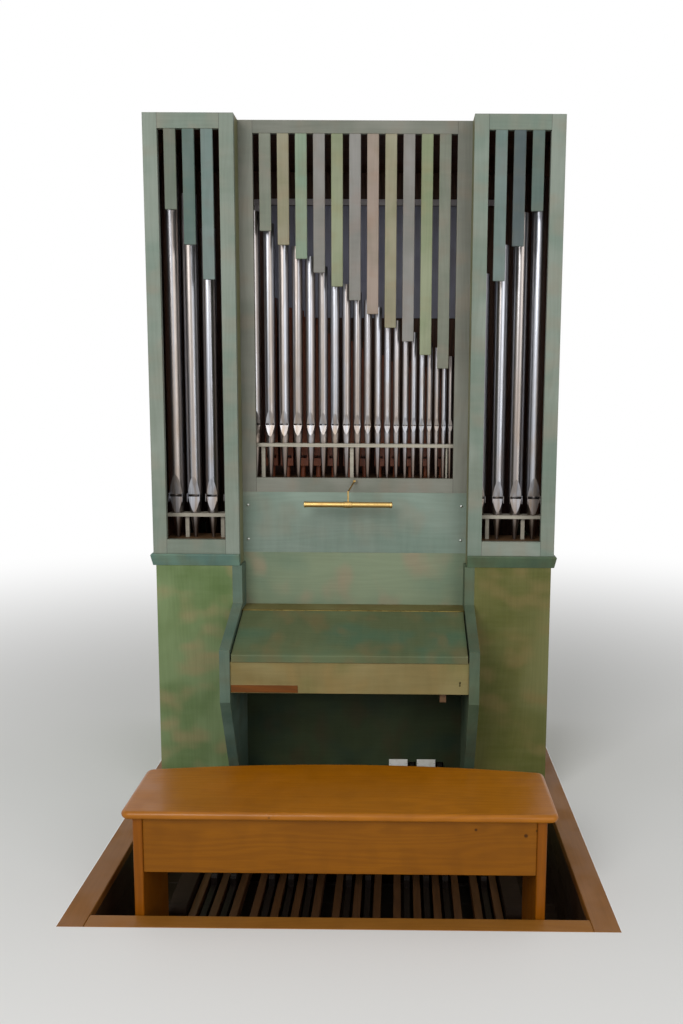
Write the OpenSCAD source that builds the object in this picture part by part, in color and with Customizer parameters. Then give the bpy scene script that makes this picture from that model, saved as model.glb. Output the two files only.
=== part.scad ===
// Chamber pipe organ that stands in a boarded floor recess with a wooden kerb.
// The front looks along -Y, +X is to the player's right, and the boarded
// bottom of the recess lies on Z = 0. Heights named in the sections below are
// measured from the tiled floor, which is one recess depth above that.

/* [Floor recess] */
// Depth of the recess below the tiled floor
pit_depth = 320; // [300:5:400]
// Clearance between the lower case and the kerb on each side
pit_side_gap = 4; // [2:1:40]
// Clearance between the back of the case and the kerb
pit_back_gap = 6; // [2:1:60]
// Distance from the wing fronts to the recess's front edge
pit_reach = 841; // [800:1:1000]
// Thickness of the boarded bottom
pit_board_t = 18; // [12:1:24]
// Thickness of the lining boards
lining_t = 20; // [14:1:30]
// Width of the kerb's side rails
kerb_side_w = 80; // [60:1:140]
// Width of the kerb's front and back rails
kerb_end_w = 62; // [40:1:120]
// Thickness of the kerb rails
kerb_t = 28; // [18:1:40]
// Open joint between neighbouring boards
joint_gap = 0.4; // [0.2:0.1:1]

/* [Case] */
// Height of the case above the tiled floor
case_h = 2490; // [2460:5:2700]
// Depth of the case behind the wing fronts
case_d = 850; // [700:5:1000]
// How far the lower case is set in on each side
lower_inset = 9; // [4:1:24]
// Thickness of the side boards
side_t = 18; // [15:1:22]
// Thickness of the front frames and panels
frame_t = 22; // [16:1:28]
// Thickness of the roof and the back
back_t = 20; // [16:1:28]
// Depth of the sunk fields in the back
back_field = 6; // [2:1:10]
// Width of the framing round the sunk fields in the back
back_rail = 90; // [60:5:120]
// Height of the upper edge of the pale board inside the back
screen_z = 2329; // [2300:1:2350]
// Height of the pale board inside the back
screen_h = 480; // [400:5:520]

/* [Belt] */
// Height of the belt's underside
belt_z = 887; // [880:1:920]
// Height of the belt
belt_h = 43; // [30:1:50]
// Projection of the belt at its upper edge
belt_proud = 10; // [6:1:20]
// Projection of the belt at its lower edge
belt_under = 2; // [1:1:5]

/* [Wings] */
// Width of the middle bay between the wings
centre_w = 843; // [820:1:860]
// Width of each wing
wing_w = 318.5; // [312:0.5:330]
// How far the wings stand in front of the middle bay
wing_proud = 90; // [80:1:110]
// Width of the wing stiles
wing_stile = 50.5; // [46:0.5:54]
// Height of the wing top rails
wing_top_rail = 53; // [40:1:70]
// Height of the wing bottom rails above the belt
wing_sill = 53; // [46:1:60]

/* [Middle frame] */
// Width of the middle frame's stiles
centre_stile = 52.5; // [46:0.5:56]
// Height of the middle frame's top rail
centre_top_rail = 45; // [40:1:60]
// Height of the middle frame's bottom rail
centre_sill = 53; // [48:1:60]
// Height of the upper edge of the bottom rail
centre_sill_z = 1206; // [1200:1:1212]

/* [Slats] */
// Width of a slat
slat_w = 42; // [34:0.5:46]
// Thickness of a slat
slat_t = 12; // [8:1:15]
// Number of slats in the middle
centre_slats = 11; // [9:1:12]
// Length of the shortest middle slat
centre_slat_first = 340; // [300:5:360]
// Difference in length from one middle slat to the next
centre_slat_step = 49; // [40:1:52]
// Number of slats in each wing
wing_slats = 3; // [2:1:3]
// Length of the shortest wing slat
wing_slat_first = 274; // [250:1:300]
// Difference in length from one wing slat to the next
wing_slat_step = 120.5; // [100:0.5:130]

/* [Flue pipes] */
// Speaking length of the first middle pipe
pipe_len = 783; // [760:1:800]
// Diameter of the first middle pipe
pipe_d = 44; // [40:0.5:45]
// Semitones over which the pipe diameter halves
pipe_halving = 16; // [15:1:18]
// Wall thickness of the metal pipes
pipe_wall = 1.2; // [1:0.1:1.5]
// Outer diameter of the foot at its tip
tip_d = 11; // [10:0.5:12]
// Number of pipes in the middle
centre_pipe_count = 20; // [12:1:20]
// Distance of the outer middle pipes' axes from the frame's opening
pipe_row_in = 1; // [0:1:6]
// Shift of the middle pipe row to the left
pipe_row_shift = 9; // [0:1:10]
// Distance of the middle pipe row behind the middle frame's face
centre_pipe_back = 60; // [56:1:70]
// Height of the middle mouths
centre_mouth_z = 1400; // [1390:1:1410]
// Height of the middle chest's table
centre_chest_z = 1195; // [1190:1:1200]
// Number of pipes in each wing
wing_pipe_count = 4; // [3:1:4]
// Distance from the wing's inner edge to its first pipe
wing_pipe_in = 50.5; // [48:0.5:54]
// Distance between wing pipes
wing_pipe_pitch = 67.5; // [66:0.1:67.6]
// Distance of the wing pipe rows behind the wing fronts
wing_pipe_back = 120; // [110:1:130]
// Height of the wing mouths
wing_mouth_z = 1130; // [1120:1:1140]
// Height of the wing chests' tables
wing_chest_z = 975; // [965:1:980]
// Projection of the ears beside the wing mouths
ear_out = 14; // [8:1:16]
// Depth by which a foot is let into its chest
toe_sink = 4; // [2:0.5:6]

/* [Pipe racks and chests] */
// Height of the middle rack board's upper face
centre_rack_z = 1333; // [1320:1:1340]
// Height of the wing rack boards' upper faces
wing_rack_z = 1069; // [1055:1:1075]
// Thickness of the rack boards
rack_t = 13; // [10:1:16]
// Width of the rack boards in excess of their largest hole
rack_margin = 14; // [8:1:20]
// Width of the rack posts
rack_post = 14; // [10:1:16]
// Height of the middle wind chest
chest_h = 95; // [70:1:110]
// Height of the wing wind chests
wing_chest_h = 84; // [60:1:86]
// Depth of the middle wind chest
centre_chest_d = 320; // [280:5:360]
// Depth of the wing wind chests
wing_chest_d = 190; // [180:5:220]

/* [Wooden pipes] */
// Number of wooden pipes behind the middle row
wood_count = 12; // [6:1:13]
// Distance between wooden pipes
wood_pitch = 60; // [56:1:60]
// Width of the largest wooden pipe
wood_w = 50; // [40:1:52]
// Height of the largest wooden pipe
wood_len = 640; // [500:5:700]
// Wall thickness of the wooden pipes
wood_wall = 6; // [5:0.5:7]
// Distance of the wooden pipes behind the metal row
wood_back = 110; // [100:1:130]

/* [Console] */
// Thickness of the console cheeks
cheek_t = 36; // [30:1:40]
// How far the cheeks lap over the middle bay's edge
cheek_lap = 8.5; // [6:0.5:14]
// Projection of the cheeks in front of the wings
cheek_out = 285; // [270:1:300]
// Height where the cheek's upper slope starts
cheek_top_z = 745; // [735:1:760]
// Height of the cheek's upper nose
cheek_nose_z = 644; // [640:1:650]
// Height of the cheek's lower nose
cheek_low_z = 458; // [440:1:470]
// Height of the break in the cheek's lower slope
cheek_break_z = 176; // [160:1:190]
// Projection of the break in the cheek's lower slope
cheek_break_out = 136; // [120:1:150]
// Drop below the floor where the lower slope meets the wing front
cheek_foot_drop = 80; // [60:1:100]
// Height of the ledge behind the lid
ledge_z = 723; // [718:1:728]
// Projection of the ledge in front of the wings
ledge_out = 10; // [6:1:14]
// Height of the music desk's lower edge
desk_z = 923; // [918:1:928]
// Thickness of the desk boards
desk_t = 18; // [15:1:22]
// Diameter of the desk's screw caps
cap_d = 9; // [6:0.5:12]
// Thickness of the knee panel
knee_t = 18; // [15:1:22]
// Distance of the knee panel behind the wing fronts
knee_y = 80; // [74:1:84]

/* [Lid and keys] */
// Height of the lid's upper edge at the front
lid_front_z = 629; // [626:1:632]
// Thickness of the lid, measured upright
lid_t = 26; // [22:1:28]
// Clearance at each end of the lid
lid_gap = 5; // [5:0.5:8]
// Overhang of the lid over the key slip
lid_nose = 5; // [2:1:8]
// Diameter of the hinge barrel
hinge_d = 7; // [6:0.5:8]
// Diameter of the hinge pin
hinge_pin_d = 3; // [2.5:0.5:4]
// Number of knuckles along the hinge
hinge_knuckles = 7; // [3:2:9]
// Distance of the key slip's face in front of the wings
slip_out = 278; // [272:1:280]
// Thickness of the key slip
slip_t = 20; // [16:1:24]
// Height of the key slip's lower edge
slip_z = 492; // [488:1:496]
// Length of the bare strip at the slip's left end
strip_len = 232; // [180:1:260]
// Height of the bare strip
strip_h = 27; // [20:1:30]
// Distance of the keyhole from the right cheek
keyhole_in = 31; // [24:1:40]
// Distance of the catch block from the right cheek
catch_in = 77; // [60:1:90]
// Number of white keys
white_keys = 32; // [28:1:32]
// Width of the blocks at the ends of the keys
key_block_w = 32; // [28:0.5:36]
// Height of the white keys' upper faces
key_z = 565; // [560:1:568]
// Playing length of the white keys
key_len = 140; // [130:1:145]

/* [Pedals] */
// Distance between neighbouring natural pedals
pedal_pitch = 68; // [66:0.5:68]
// Width of a natural pedal
natural_w = 25; // [22:0.5:27]
// Width of a sharp pedal
sharp_w = 20; // [18:0.5:21]
// Height of the natural pedals' upper faces above the recess's bottom
pedal_top = 126; // [120:1:135]
// Height of a pedal's bar
pedal_h = 38; // [32:1:40]
// Distance of the pedals' axle from the recess's front edge
pedal_heel_gap = 57; // [52:1:64]
// Distance of the pedals' toes in front of the wings
pedal_toe_gap = 68; // [60:1:90]
// Diameter of the pedals' axle
axle_d = 8; // [6:0.5:10]
// Rise of the sharp pedals' noses above the naturals
sharp_rise = 30; // [20:1:36]
// Length of a sharp pedal's nose
sharp_len = 150; // [120:1:170]
// Distance from a sharp pedal's toe to its nose
sharp_back = 96; // [80:1:120]
// Thickness of the pedal frame's boards
pedal_frame_t = 20; // [16:1:22]

/* [Coupler levers] */
// Distance of the first coupler lever from the right cheek
lever_in = 188; // [175:1:195]
// Distance between the coupler levers
lever_pitch = 108; // [104:1:112]
// Width of a coupler lever
lever_w = 18; // [14:1:19]
// Height of the coupler levers
lever_z = 87; // [82:1:92]
// Reach of the coupler levers in front of the knee panel
lever_reach = 75; // [60:1:90]
// Distance of the levers' pivot behind the knee panel's face
lever_tail = 110; // [90:1:130]
// Width of a name plate
plate_w = 72; // [60:1:76]
// Height of a name plate
plate_h = 33; // [28:1:36]

/* [Bench] */
// Length of the bench's top
bench_w = 1270; // [1220:2:1300]
// Width of the bench's top at its ends
bench_d = 321; // [300:1:340]
// Bow of the bench's far edge at the middle
bench_bow = 50; // [30:1:60]
// Thickness of the bench's top
bench_t = 24; // [20:1:30]
// Height of the bench's top
bench_z = 326; // [300:1:340]
// Overhang of the top beyond the kerb's inner edge
bench_over = 17; // [10:1:24]
// Distance between the outer faces of the end boards
bench_ends_w = 1208; // [1196:1:1216]
// Thickness of the end boards
bench_end_t = 28; // [24:1:30]
// Height of the bench's aprons
apron_h = 174; // [150:1:190]
// Thickness of the bench's aprons
apron_t = 20; // [16:1:24]

/* [Lamp] */
// Length of the lamp tube
lamp_len = 323; // [280:1:360]
// Diameter of the lamp tube
lamp_d = 21; // [16:0.5:24]
// Height of the lamp's knuckle
lamp_z = 1196; // [1190:1:1200]
// Drop from the knuckle to the tube
lamp_drop = 80; // [76:1:90]
// Reach of the tube in front of the knuckle
lamp_reach = 70; // [60:1:80]
// Reach of the lamp's arm to the left
lamp_side = 20; // [0:1:24]
// Diameter of the lamp's arm
arm_d = 6; // [5:0.5:8]

/* [Hidden] */
$fn = 48;
eps = 0.05;

wing_x = centre_w / 2;
case_x = wing_x + wing_w;
lower_x = case_x - lower_inset;
case_top = pit_depth + case_h;
belt_low = pit_depth + belt_z;
belt_top = belt_low + belt_h;
cheek_x = wing_x - cheek_lap;
keyhole_x = cheek_x - keyhole_in;
lever_x = cheek_x - lever_in;
pipe_row_w = centre_w - 2 * (centre_stile + pipe_row_in);
wing_pipe_first = wing_x + wing_pipe_in;
pedal_axle_y = pit_reach - pedal_heel_gap;
pedal_len = pedal_axle_y - pedal_toe_gap;
pit_x = lower_x + pit_side_gap;
pit_back = case_d + pit_back_gap;
kerb_x = pit_x + kerb_side_w;
kerb_front = -pit_reach - kerb_end_w;
kerb_back = pit_back + kerb_end_w;
frame_shift = -(kerb_front + kerb_back) / 2;
sill_z = pit_depth + centre_sill_z;
ledge_top = pit_depth + ledge_z;
chest_top = pit_depth + centre_chest_z;
wing_table = pit_depth + wing_chest_z;
pipe_y = wing_proud + centre_pipe_back;
bench_top_z = pit_depth + bench_z;
bench_front = -pit_reach - bench_over;
slip_y = -slip_out;
key_top = pit_depth + key_z;

// Naturals and sharps in one octave, from C upwards
octave_steps = [0, 0.5, 1, 1.5, 2, 3, 3.5, 4, 4.5, 5, 5.5, 6];
pedal_count = 27;
pedal_names = [for (k = [1:pedal_count]) str("pedal_", k)];

// Puts the middle of the kerb's outline over the origin
module in_frame() {
    translate([0, frame_shift, 0])
        children();
}

// Makes a piece and its mirror image on the other side
module both_sides() {
    children();
    mirror([1, 0, 0])
        children();
}

// Carries a side profile, drawn as depth and height, along X
module side_profile(x, length, points) {
    translate([x, 0, 0])
        rotate([90, 0, 90])
            linear_extrude(length)
                polygon(points);
}

// Carries a front outline, drawn as width and height, along Y
module front_outline(y, depth, points) {
    translate([0, y + depth, 0])
        rotate([90, 0, 0])
            linear_extrude(depth)
                polygon(points);
}

// Points of an arc in its own plane
function arc_points(centre, radius, from, to, steps) = [
    for (k = [0:steps])
        let (a = from + (to - from) * k / steps)
        [centre[0] + radius * cos(a), centre[1] + radius * sin(a)]
];

// A frame with two stiles, a top rail and a bottom rail round one opening
module front_frame(x, y, z, w, h, stile, sill, top_rail) {
    translate([x, y, z])
        difference() {
            cube([w, frame_t, h]);
            translate([stile, -1, sill])
                cube([w - 2 * stile, frame_t + 2, h - sill - top_rail]);
        }
}

// Floor recess

module pit_floor() {
    color("#4a3424")
        in_frame()
            translate([-pit_x - lining_t, -pit_reach - lining_t, 0])
                cube([2 * (pit_x + lining_t), pit_reach + pit_back + 2 * lining_t, pit_board_t]);
}

module pit_lining() {
    lining_h = pit_depth - kerb_t - pit_board_t;
    color("#5a4230")
        in_frame() {
            both_sides()
                translate([pit_x, -pit_reach - lining_t, pit_board_t])
                    cube([lining_t, pit_reach + pit_back + 2 * lining_t, lining_h]);
            for (y = [-pit_reach - lining_t, pit_back])
                translate([-pit_x + joint_gap, y, pit_board_t])
                    cube([2 * (pit_x - joint_gap), lining_t, lining_h]);
        }
}

module kerb_rails() {
    color("#a9825c")
        in_frame() {
            both_sides()
                translate([pit_x, kerb_front, pit_depth - kerb_t])
                    cube([kerb_side_w, kerb_back - kerb_front, kerb_t]);
            for (y = [kerb_front, pit_back])
                translate([-pit_x + joint_gap, y, pit_depth - kerb_t])
                    cube([2 * (pit_x - joint_gap), kerb_end_w, kerb_t]);
        }
}

// Case

module side_walls() {
    color("#7f9a86")
        in_frame()
            both_sides() {
                translate([case_x - side_t, frame_t, belt_top])
                    cube([side_t, case_d - frame_t, case_top - belt_top]);
                translate([lower_x - side_t, frame_t, pit_board_t])
                    cube([side_t, case_d - frame_t, belt_low - pit_board_t]);
            }
}

module wing_returns() {
    color("#8c8f5e")
        in_frame()
            both_sides()
                translate([wing_x, frame_t, belt_low])
                    cube([side_t, wing_proud, case_top - belt_low]);
}

module lower_front_panels() {
    color("#6f9a5f")
        in_frame()
            both_sides()
                translate([cheek_x + cheek_t, 0, pit_board_t])
                    cube([lower_x - cheek_x - cheek_t, frame_t, belt_low - pit_board_t]);
}

module cheeks() {
    back = wing_proud + frame_t;
    color("#567f78")
        in_frame()
            both_sides()
                side_profile(cheek_x, cheek_t, [
                    [back, pit_board_t],
                    [back, belt_low],
                    [0, belt_low],
                    [0, pit_depth + cheek_top_z],
                    [-cheek_out, pit_depth + cheek_nose_z],
                    [-cheek_out, pit_depth + cheek_low_z],
                    [-cheek_break_out, pit_depth + cheek_break_z],
                    [0, pit_depth - cheek_foot_drop],
                    [0, pit_board_t]
                ]);
}

// The belt's section leans outwards from its lower to its upper edge
module belt_section(inner) {
    polygon([
        [inner, 0],
        [-belt_under, 0],
        [-belt_proud, belt_h - 5],
        [-belt_proud + 3, belt_h],
        [inner, belt_h]
    ]);
}

module belt_rails() {
    reach = case_d + belt_proud;
    color("#5f8f8c")
        in_frame()
            both_sides()
                translate([0, 0, belt_low])
                    difference() {
                        intersection() {
                            translate([wing_x, 0, 0])
                                rotate([90, 0, 90])
                                    linear_extrude(wing_w + belt_proud)
                                        belt_section(case_d);
                            translate([case_x, case_d, 0])
                                rotate([90, 0, 0])
                                    linear_extrude(reach)
                                        mirror([1, 0])
                                            belt_section(wing_w);
                        }
                        translate([wing_x - 1, frame_t, -1])
                            cube([lower_x - side_t - wing_x + 1, case_d, belt_h + 2]);
                    }
}

module wing_frames() {
    color("#9fb3a2")
        in_frame()
            both_sides()
                front_frame(wing_x, 0, belt_top, wing_w, case_top - belt_top,
                    wing_stile, wing_sill, wing_top_rail);
}

module centre_frame() {
    color("#a3b3a5")
        in_frame() {
            front_frame(-wing_x, wing_proud, sill_z - centre_sill, centre_w,
                case_top - sill_z + centre_sill, centre_stile, centre_sill, centre_top_rail);
            lamp_bracket();
        }
}

// One slat, hung from the frame's top rail with its face flush
module slat(x, y, top, length) {
    translate([x, y, top - length])
        cube([slat_w, slat_t, length]);
}

module slats() {
    centre_open = centre_w - 2 * centre_stile;
    centre_gap = (centre_open - centre_slats * slat_w) / (centre_slats + 1);
    wing_open = wing_w - 2 * wing_stile;
    wing_gap = (wing_open - wing_slats * slat_w) / (wing_slats + 1);
    color("#b9bfa6")
        in_frame() {
            for (k = [0:centre_slats - 1])
                slat(-centre_open / 2 + centre_gap + k * (slat_w + centre_gap), wing_proud,
                    case_top - centre_top_rail, centre_slat_first + k * centre_slat_step);
            both_sides()
                for (k = [0:wing_slats - 1])
                    slat(case_x - wing_stile - (k + 1) * (slat_w + wing_gap), 0,
                        case_top - wing_top_rail, wing_slat_first + k * wing_slat_step);
        }
}

module case_back() {
    inner_y = case_d - back_t;
    upper_x = case_x - side_t;
    narrow_x = lower_x - side_t;
    field_w = narrow_x - 1.5 * back_rail;
    lower_field_h = belt_low - pit_board_t - 2 * back_rail;
    upper_field_h = case_top - belt_top - 2 * back_rail;
    screen_top = pit_depth + screen_z;
    color("#5d6b5a")
        in_frame() {
            difference() {
                front_outline(inner_y, back_t, [
                    [-narrow_x, pit_board_t],
                    [narrow_x, pit_board_t],
                    [narrow_x, belt_top],
                    [upper_x, belt_top],
                    [upper_x, case_top],
                    [-upper_x, case_top],
                    [-upper_x, belt_top],
                    [-narrow_x, belt_top]
                ]);
                for (x = [-field_w - back_rail / 2, back_rail / 2]) {
                    translate([x, case_d - back_field, pit_board_t + back_rail])
                        cube([field_w, back_field + 1, lower_field_h]);
                    translate([x, case_d - back_field, belt_top + back_rail])
                        cube([field_w, back_field + 1, upper_field_h]);
                }
            }
            translate([-wing_x, inner_y - 4, screen_top - screen_h])
                cube([centre_w, 5, screen_h]);
            translate([-wing_x, inner_y - 20, screen_top])
                cube([centre_w, 21, 26]);
        }
}

module case_roof() {
    upper_x = case_x - side_t;
    inner_x = wing_x + side_t;
    centre_y = wing_proud + frame_t;
    back_y = case_d - back_t;
    color("#6f8270")
        in_frame()
            translate([0, 0, case_top - back_t])
                linear_extrude(back_t)
                    polygon([
                        [-upper_x, frame_t],
                        [-inner_x, frame_t],
                        [-inner_x, centre_y],
                        [inner_x, centre_y],
                        [inner_x, frame_t],
                        [upper_x, frame_t],
                        [upper_x, back_y],
                        [-upper_x, back_y]
                    ]);
}

// Console

module music_desk_panel() {
    desk_low = pit_depth + desk_z;
    desk_h = sill_z - centre_sill - desk_low;
    cap_in = 20;
    color("#79a39c")
        in_frame() {
            translate([-wing_x, wing_proud, desk_low])
                cube([centre_w, desk_t, desk_h]);
            for (x = [-wing_x + cap_in, wing_x - cap_in])
                for (z = [desk_low + 50, desk_low + desk_h - 50])
                    translate([x, wing_proud + eps, z])
                        rotate([90, 0, 0])
                            cylinder(h = 1.5 + eps, d = cap_d);
        }
}

module desk_panel() {
    color("#93a386")
        in_frame()
            front_outline(wing_proud, desk_t, [
                [-cheek_x, ledge_top],
                [cheek_x, ledge_top],
                [cheek_x, belt_low],
                [wing_x, belt_low],
                [wing_x, pit_depth + desk_z],
                [-wing_x, pit_depth + desk_z],
                [-wing_x, belt_low],
                [-cheek_x, belt_low]
            ]);
}

// Centre line of the lid's hinge, as depth and height
hinge_y = -ledge_out - hinge_d / 2 - 0.5;
hinge_z = ledge_top - 1;

// One knuckle of the lid's hinge with the leaf that joins it to a board
module hinge_knuckle(place, forward) {
    pitch = 2 * cheek_x / hinge_knuckles;
    reach = hinge_d / 2 + 1.5;
    translate([-cheek_x + place * pitch + 0.5, hinge_y, hinge_z])
        difference() {
            union() {
                rotate([0, 90, 0])
                    cylinder(h = pitch - 1, d = hinge_d);
                translate([0, forward ? -reach : 0, -hinge_d / 2])
                    cube([pitch - 1, reach, 2.5]);
            }
            if (forward)
                translate([-1, 0, 0])
                    rotate([0, 90, 0])
                        cylinder(h = pitch + 1, d = hinge_pin_d + 0.1);
        }
}

module desk_ledge() {
    color("#9a9558")
        in_frame() {
            translate([-cheek_x, -ledge_out, ledge_top - frame_t])
                cube([2 * cheek_x, ledge_out + wing_proud + desk_t, frame_t]);
            translate([-cheek_x, hinge_y, hinge_z])
                rotate([0, 90, 0])
                    cylinder(h = 2 * cheek_x, d = hinge_pin_d);
            for (place = [0:2:hinge_knuckles - 1])
                hinge_knuckle(place, false);
        }
}

module lid() {
    back = hinge_y - hinge_d / 2 - 0.5;
    front = slip_y - lid_nose;
    back_z = ledge_top - 1.5;
    front_z = pit_depth + lid_front_z;
    round_r = 6;
    half = cheek_x - lid_gap;
    color("#7f9c82")
        in_frame() {
            side_profile(-half, 2 * half, concat(
                [
                    [back, back_z - lid_t],
                    [back, back_z]
                ],
                arc_points([front + round_r, front_z - round_r + 1], round_r, 110, 180, 6),
                [[front, front_z - lid_t]]
            ));
            for (place = [1:2:hinge_knuckles - 2])
                hinge_knuckle(place, true);
        }
}

module keyhole() {
    translate([keyhole_x, slip_y - 1, pit_depth + 534])
        rotate([-90, 0, 0])
            cylinder(h = 13, d = 7);
    translate([keyhole_x - 1.75, slip_y - 1, pit_depth + 519])
        cube([3.5, 13, 15]);
}

module key_slip() {
    slip_low = pit_depth + slip_z;
    slip_h = lid_front_z - lid_t - slip_z;
    color("#b9b18a")
        in_frame()
            difference() {
                union() {
                    translate([-cheek_x, slip_y, slip_low])
                        cube([2 * cheek_x, slip_t, slip_h]);
                    translate([-cheek_x + 2, slip_y - 1, slip_low + 2])
                        cube([strip_len, 2, strip_h]);
                }
                keyhole();
            }
}

keys_w = 2 * (cheek_x - key_block_w);
white_w = keys_w / white_keys;
bed_low = pit_depth + slip_z + 2;
bed_t = 22;
name_y = slip_y + slip_t + 13 + key_len;

module key_bed() {
    bed_back = knee_y;
    block_w = key_block_w - 1;
    key_low = key_top - 24;
    bed_front = slip_y + slip_t;
    name_h = 78;
    color("#6e5b3c")
        in_frame() {
            translate([-cheek_x, bed_front, bed_low])
                cube([2 * cheek_x, bed_back - bed_front, bed_t]);
            both_sides()
                translate([cheek_x - block_w - eps, bed_front, bed_low])
                    cube([block_w, name_y - bed_front, key_top - bed_low + 4]);
            for (y = [bed_front + 20, bed_back - 60])
                translate([-keys_w / 2, y, bed_low])
                    cube([keys_w, 30, key_low - bed_low]);
            translate([-cheek_x, name_y, key_top + 15])
                cube([2 * cheek_x, 14, name_h]);
            both_sides()
                translate([cheek_x - block_w - eps, name_y, bed_low])
                    cube([block_w, 14, key_top - bed_low + 20]);
            translate([cheek_x - catch_in - 22, bed_front + 4, bed_low - 38])
                cube([22, 20, 40]);
        }
}

// Whether a place on the half-key grid holds a sharp key
function is_sharp(step) = step != floor(step);

module manual_keys() {
    front = slip_y + slip_t + 10;
    tail = knee_y - 20;
    key_low = key_top - 24;
    octaves = ceil(white_keys / 7);
    sharp_top = 12;
    color("#d8c9a0")
        in_frame() {
            for (k = [0:white_keys - 1])
                translate([-keys_w / 2 + k * white_w + 0.5, front, key_low])
                    cube([white_w - 1, tail - front - 20, 24]);
            translate([-keys_w / 2 + 0.5, tail - 25, key_low])
                cube([keys_w - 1, 25, 24]);
            for (octave = [0:octaves - 1])
                for (step = octave_steps)
                    if (is_sharp(step) && octave * 7 + step < white_keys - 1)
                        side_profile(
                            -keys_w / 2 + (octave * 7 + step + 0.5) * white_w - 5,
                            10,
                            [
                                [front + 50, key_top - 1],
                                [front + 53, key_top + sharp_top],
                                [tail - 30, key_top + sharp_top],
                                [tail - 30, key_top - 1]
                            ]
                        );
        }
}

lever_low = pit_depth + lever_z - 7;
lever_pivot_y = knee_y + lever_tail;
lever_pin_d = 6;
lever_drop = 12;

module lever_slot(x) {
    fall = (lever_pivot_y - knee_y) * tan(lever_drop);
    translate([x - lever_w / 2 - 6, knee_y - 1, lever_low - fall - 6])
        cube([lever_w + 12, knee_t + 2, fall + 14 + 12]);
}

module knee_panel() {
    top = ledge_top - frame_t;
    ear_t = 8;
    color("#3f5f48")
        in_frame() {
            difference() {
                translate([-cheek_x, knee_y, pit_board_t])
                    cube([2 * cheek_x, knee_t, top - pit_board_t]);
                lever_slot(lever_x);
                lever_slot(lever_x + lever_pitch);
            }
            for (x = [lever_x, lever_x + lever_pitch])
                translate([x - lever_w / 2 - 8 - plate_w, knee_y - 1.5, lever_low - 2])
                    cube([plate_w, 2, plate_h]);
            for (x = [lever_x - lever_pitch / 2, lever_x + lever_pitch / 2, lever_x + 1.5 * lever_pitch])
                translate([x - ear_t / 2, knee_y + knee_t - 1, lever_low - 6])
                    cube([ear_t, lever_pivot_y - knee_y - knee_t + 13, 26]);
            translate([lever_x - lever_pitch / 2, lever_pivot_y, lever_low + 7])
                rotate([0, 90, 0])
                    cylinder(h = 2 * lever_pitch, d = lever_pin_d);
        }
}

module coupler_lever(x) {
    tip = knee_y - lever_reach;
    color("#33302c")
        in_frame()
            difference() {
                union() {
                    translate([x - lever_w / 2, tip + lever_w / 2, lever_low])
                        cube([lever_w, lever_pivot_y - tip - lever_w / 2, 14]);
                    translate([x, tip + lever_w / 2, lever_low])
                        cylinder(h = 14, d = lever_w);
                    translate([x - lever_w / 2, lever_pivot_y, lever_low + 7])
                        rotate([0, 90, 0])
                            cylinder(h = lever_w, d = 14);
                }
                translate([x - lever_w, lever_pivot_y, lever_low + 7])
                    rotate([0, 90, 0])
                        cylinder(h = 2 * lever_w, d = lever_pin_d + 0.1);
            }
}

module coupler_lever_left() {
    coupler_lever(lever_x);
}

module coupler_lever_right() {
    coupler_lever(lever_x + lever_pitch);
}

// Flue pipes

// Speaking length and diameter of the pipe that many semitones above the first
function speaking(semitone) = pipe_len * pow(2, -semitone / 12);
function bore(semitone) = pipe_d * pow(2, -semitone / pipe_halving);

// Places of the middle pipes: each gap follows the two diameters beside it
function run(k) = k == 0 ? 0 : run(k - 1) + (bore(k - 1) + bore(k)) / 2;
function centre_pipe_x(k) = pipe_row_w * (run(k) / run(centre_pipe_count - 1) - 0.5) - pipe_row_shift;

// Radius of a foot at a height above its tip
function foot_radius(d, foot, z) = tip_d / 2 + (d - tip_d) / 2 * z / foot;

// Half the distance between a mouth's flat and the pipe's axis is set by its width
function mouth_width(d) = 0.25 * PI * d;
function mouth_flat(d) = sqrt(pow(d / 2, 2) - pow(mouth_width(d) / 2, 2));

// All that lies in front of the flattened mouth, moved back by a wall or by 0
module before_mouth(d, foot, back) {
    cut_up = 0.22 * mouth_width(d);
    lip_edge = 0.8;
    near_y = back - mouth_flat(d);
    upper_h = 1.5 * mouth_width(d);
    lower_h = d;
    rise_y = back - d / 2 - near_y;
    fall_y = back - foot_radius(d, foot, foot - lower_h) - near_y;
    over = 1.25;
    side_profile(-d, 2 * d, [
        [-2 * d, -over * lower_h],
        [near_y + over * fall_y, lip_edge - over * lower_h],
        [near_y, lip_edge],
        [near_y, cut_up],
        [near_y + over * rise_y, cut_up + over * upper_h],
        [-2 * d, cut_up + over * upper_h]
    ]);
}

// A metal flue pipe: mouth at z = 0, foot below, speaking body above
module flue_pipe(d, length, foot, ears) {
    r = d / 2;
    w = pipe_wall;
    mouth_w = mouth_width(d);
    flat = mouth_flat(d);
    cut_up = 0.22 * mouth_w;
    languid = 2;
    slope = (r - tip_d / 2) / foot;
    difference() {
        union() {
            difference() {
                rotate_extrude()
                    polygon([
                        [0, -foot],
                        [tip_d / 2, -foot],
                        [r, 0],
                        [r, length],
                        [0, length]
                    ]);
                before_mouth(d, foot, 0);
            }
            if (ears)
                for (side = [-1, 1])
                    translate([side * (mouth_w / 2 + 1) - 0.6, -flat - ear_out, -0.3 * d])
                        cube([1.2, ear_out + 8, 0.55 * d]);
        }
        difference() {
            cylinder(h = length + 1, r = r - w);
            before_mouth(d, foot, w);
        }
        difference() {
            translate([0, 0, -foot - 1])
                cylinder(h = foot + 1 - languid, r1 = tip_d / 2 - w - slope, r2 = r - w - languid * slope);
            before_mouth(d, foot, w);
        }
        translate([-mouth_w / 2 + 0.7, -r - 1, 0.8])
            cube([mouth_w - 1.4, r + 1 - flat + w + 1, cut_up - 0.5]);
        translate([-mouth_w / 2 + 2.5, -flat + w + 0.3, -languid - 1])
            cube([mouth_w - 5, 1, languid + 2]);
    }
}

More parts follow.
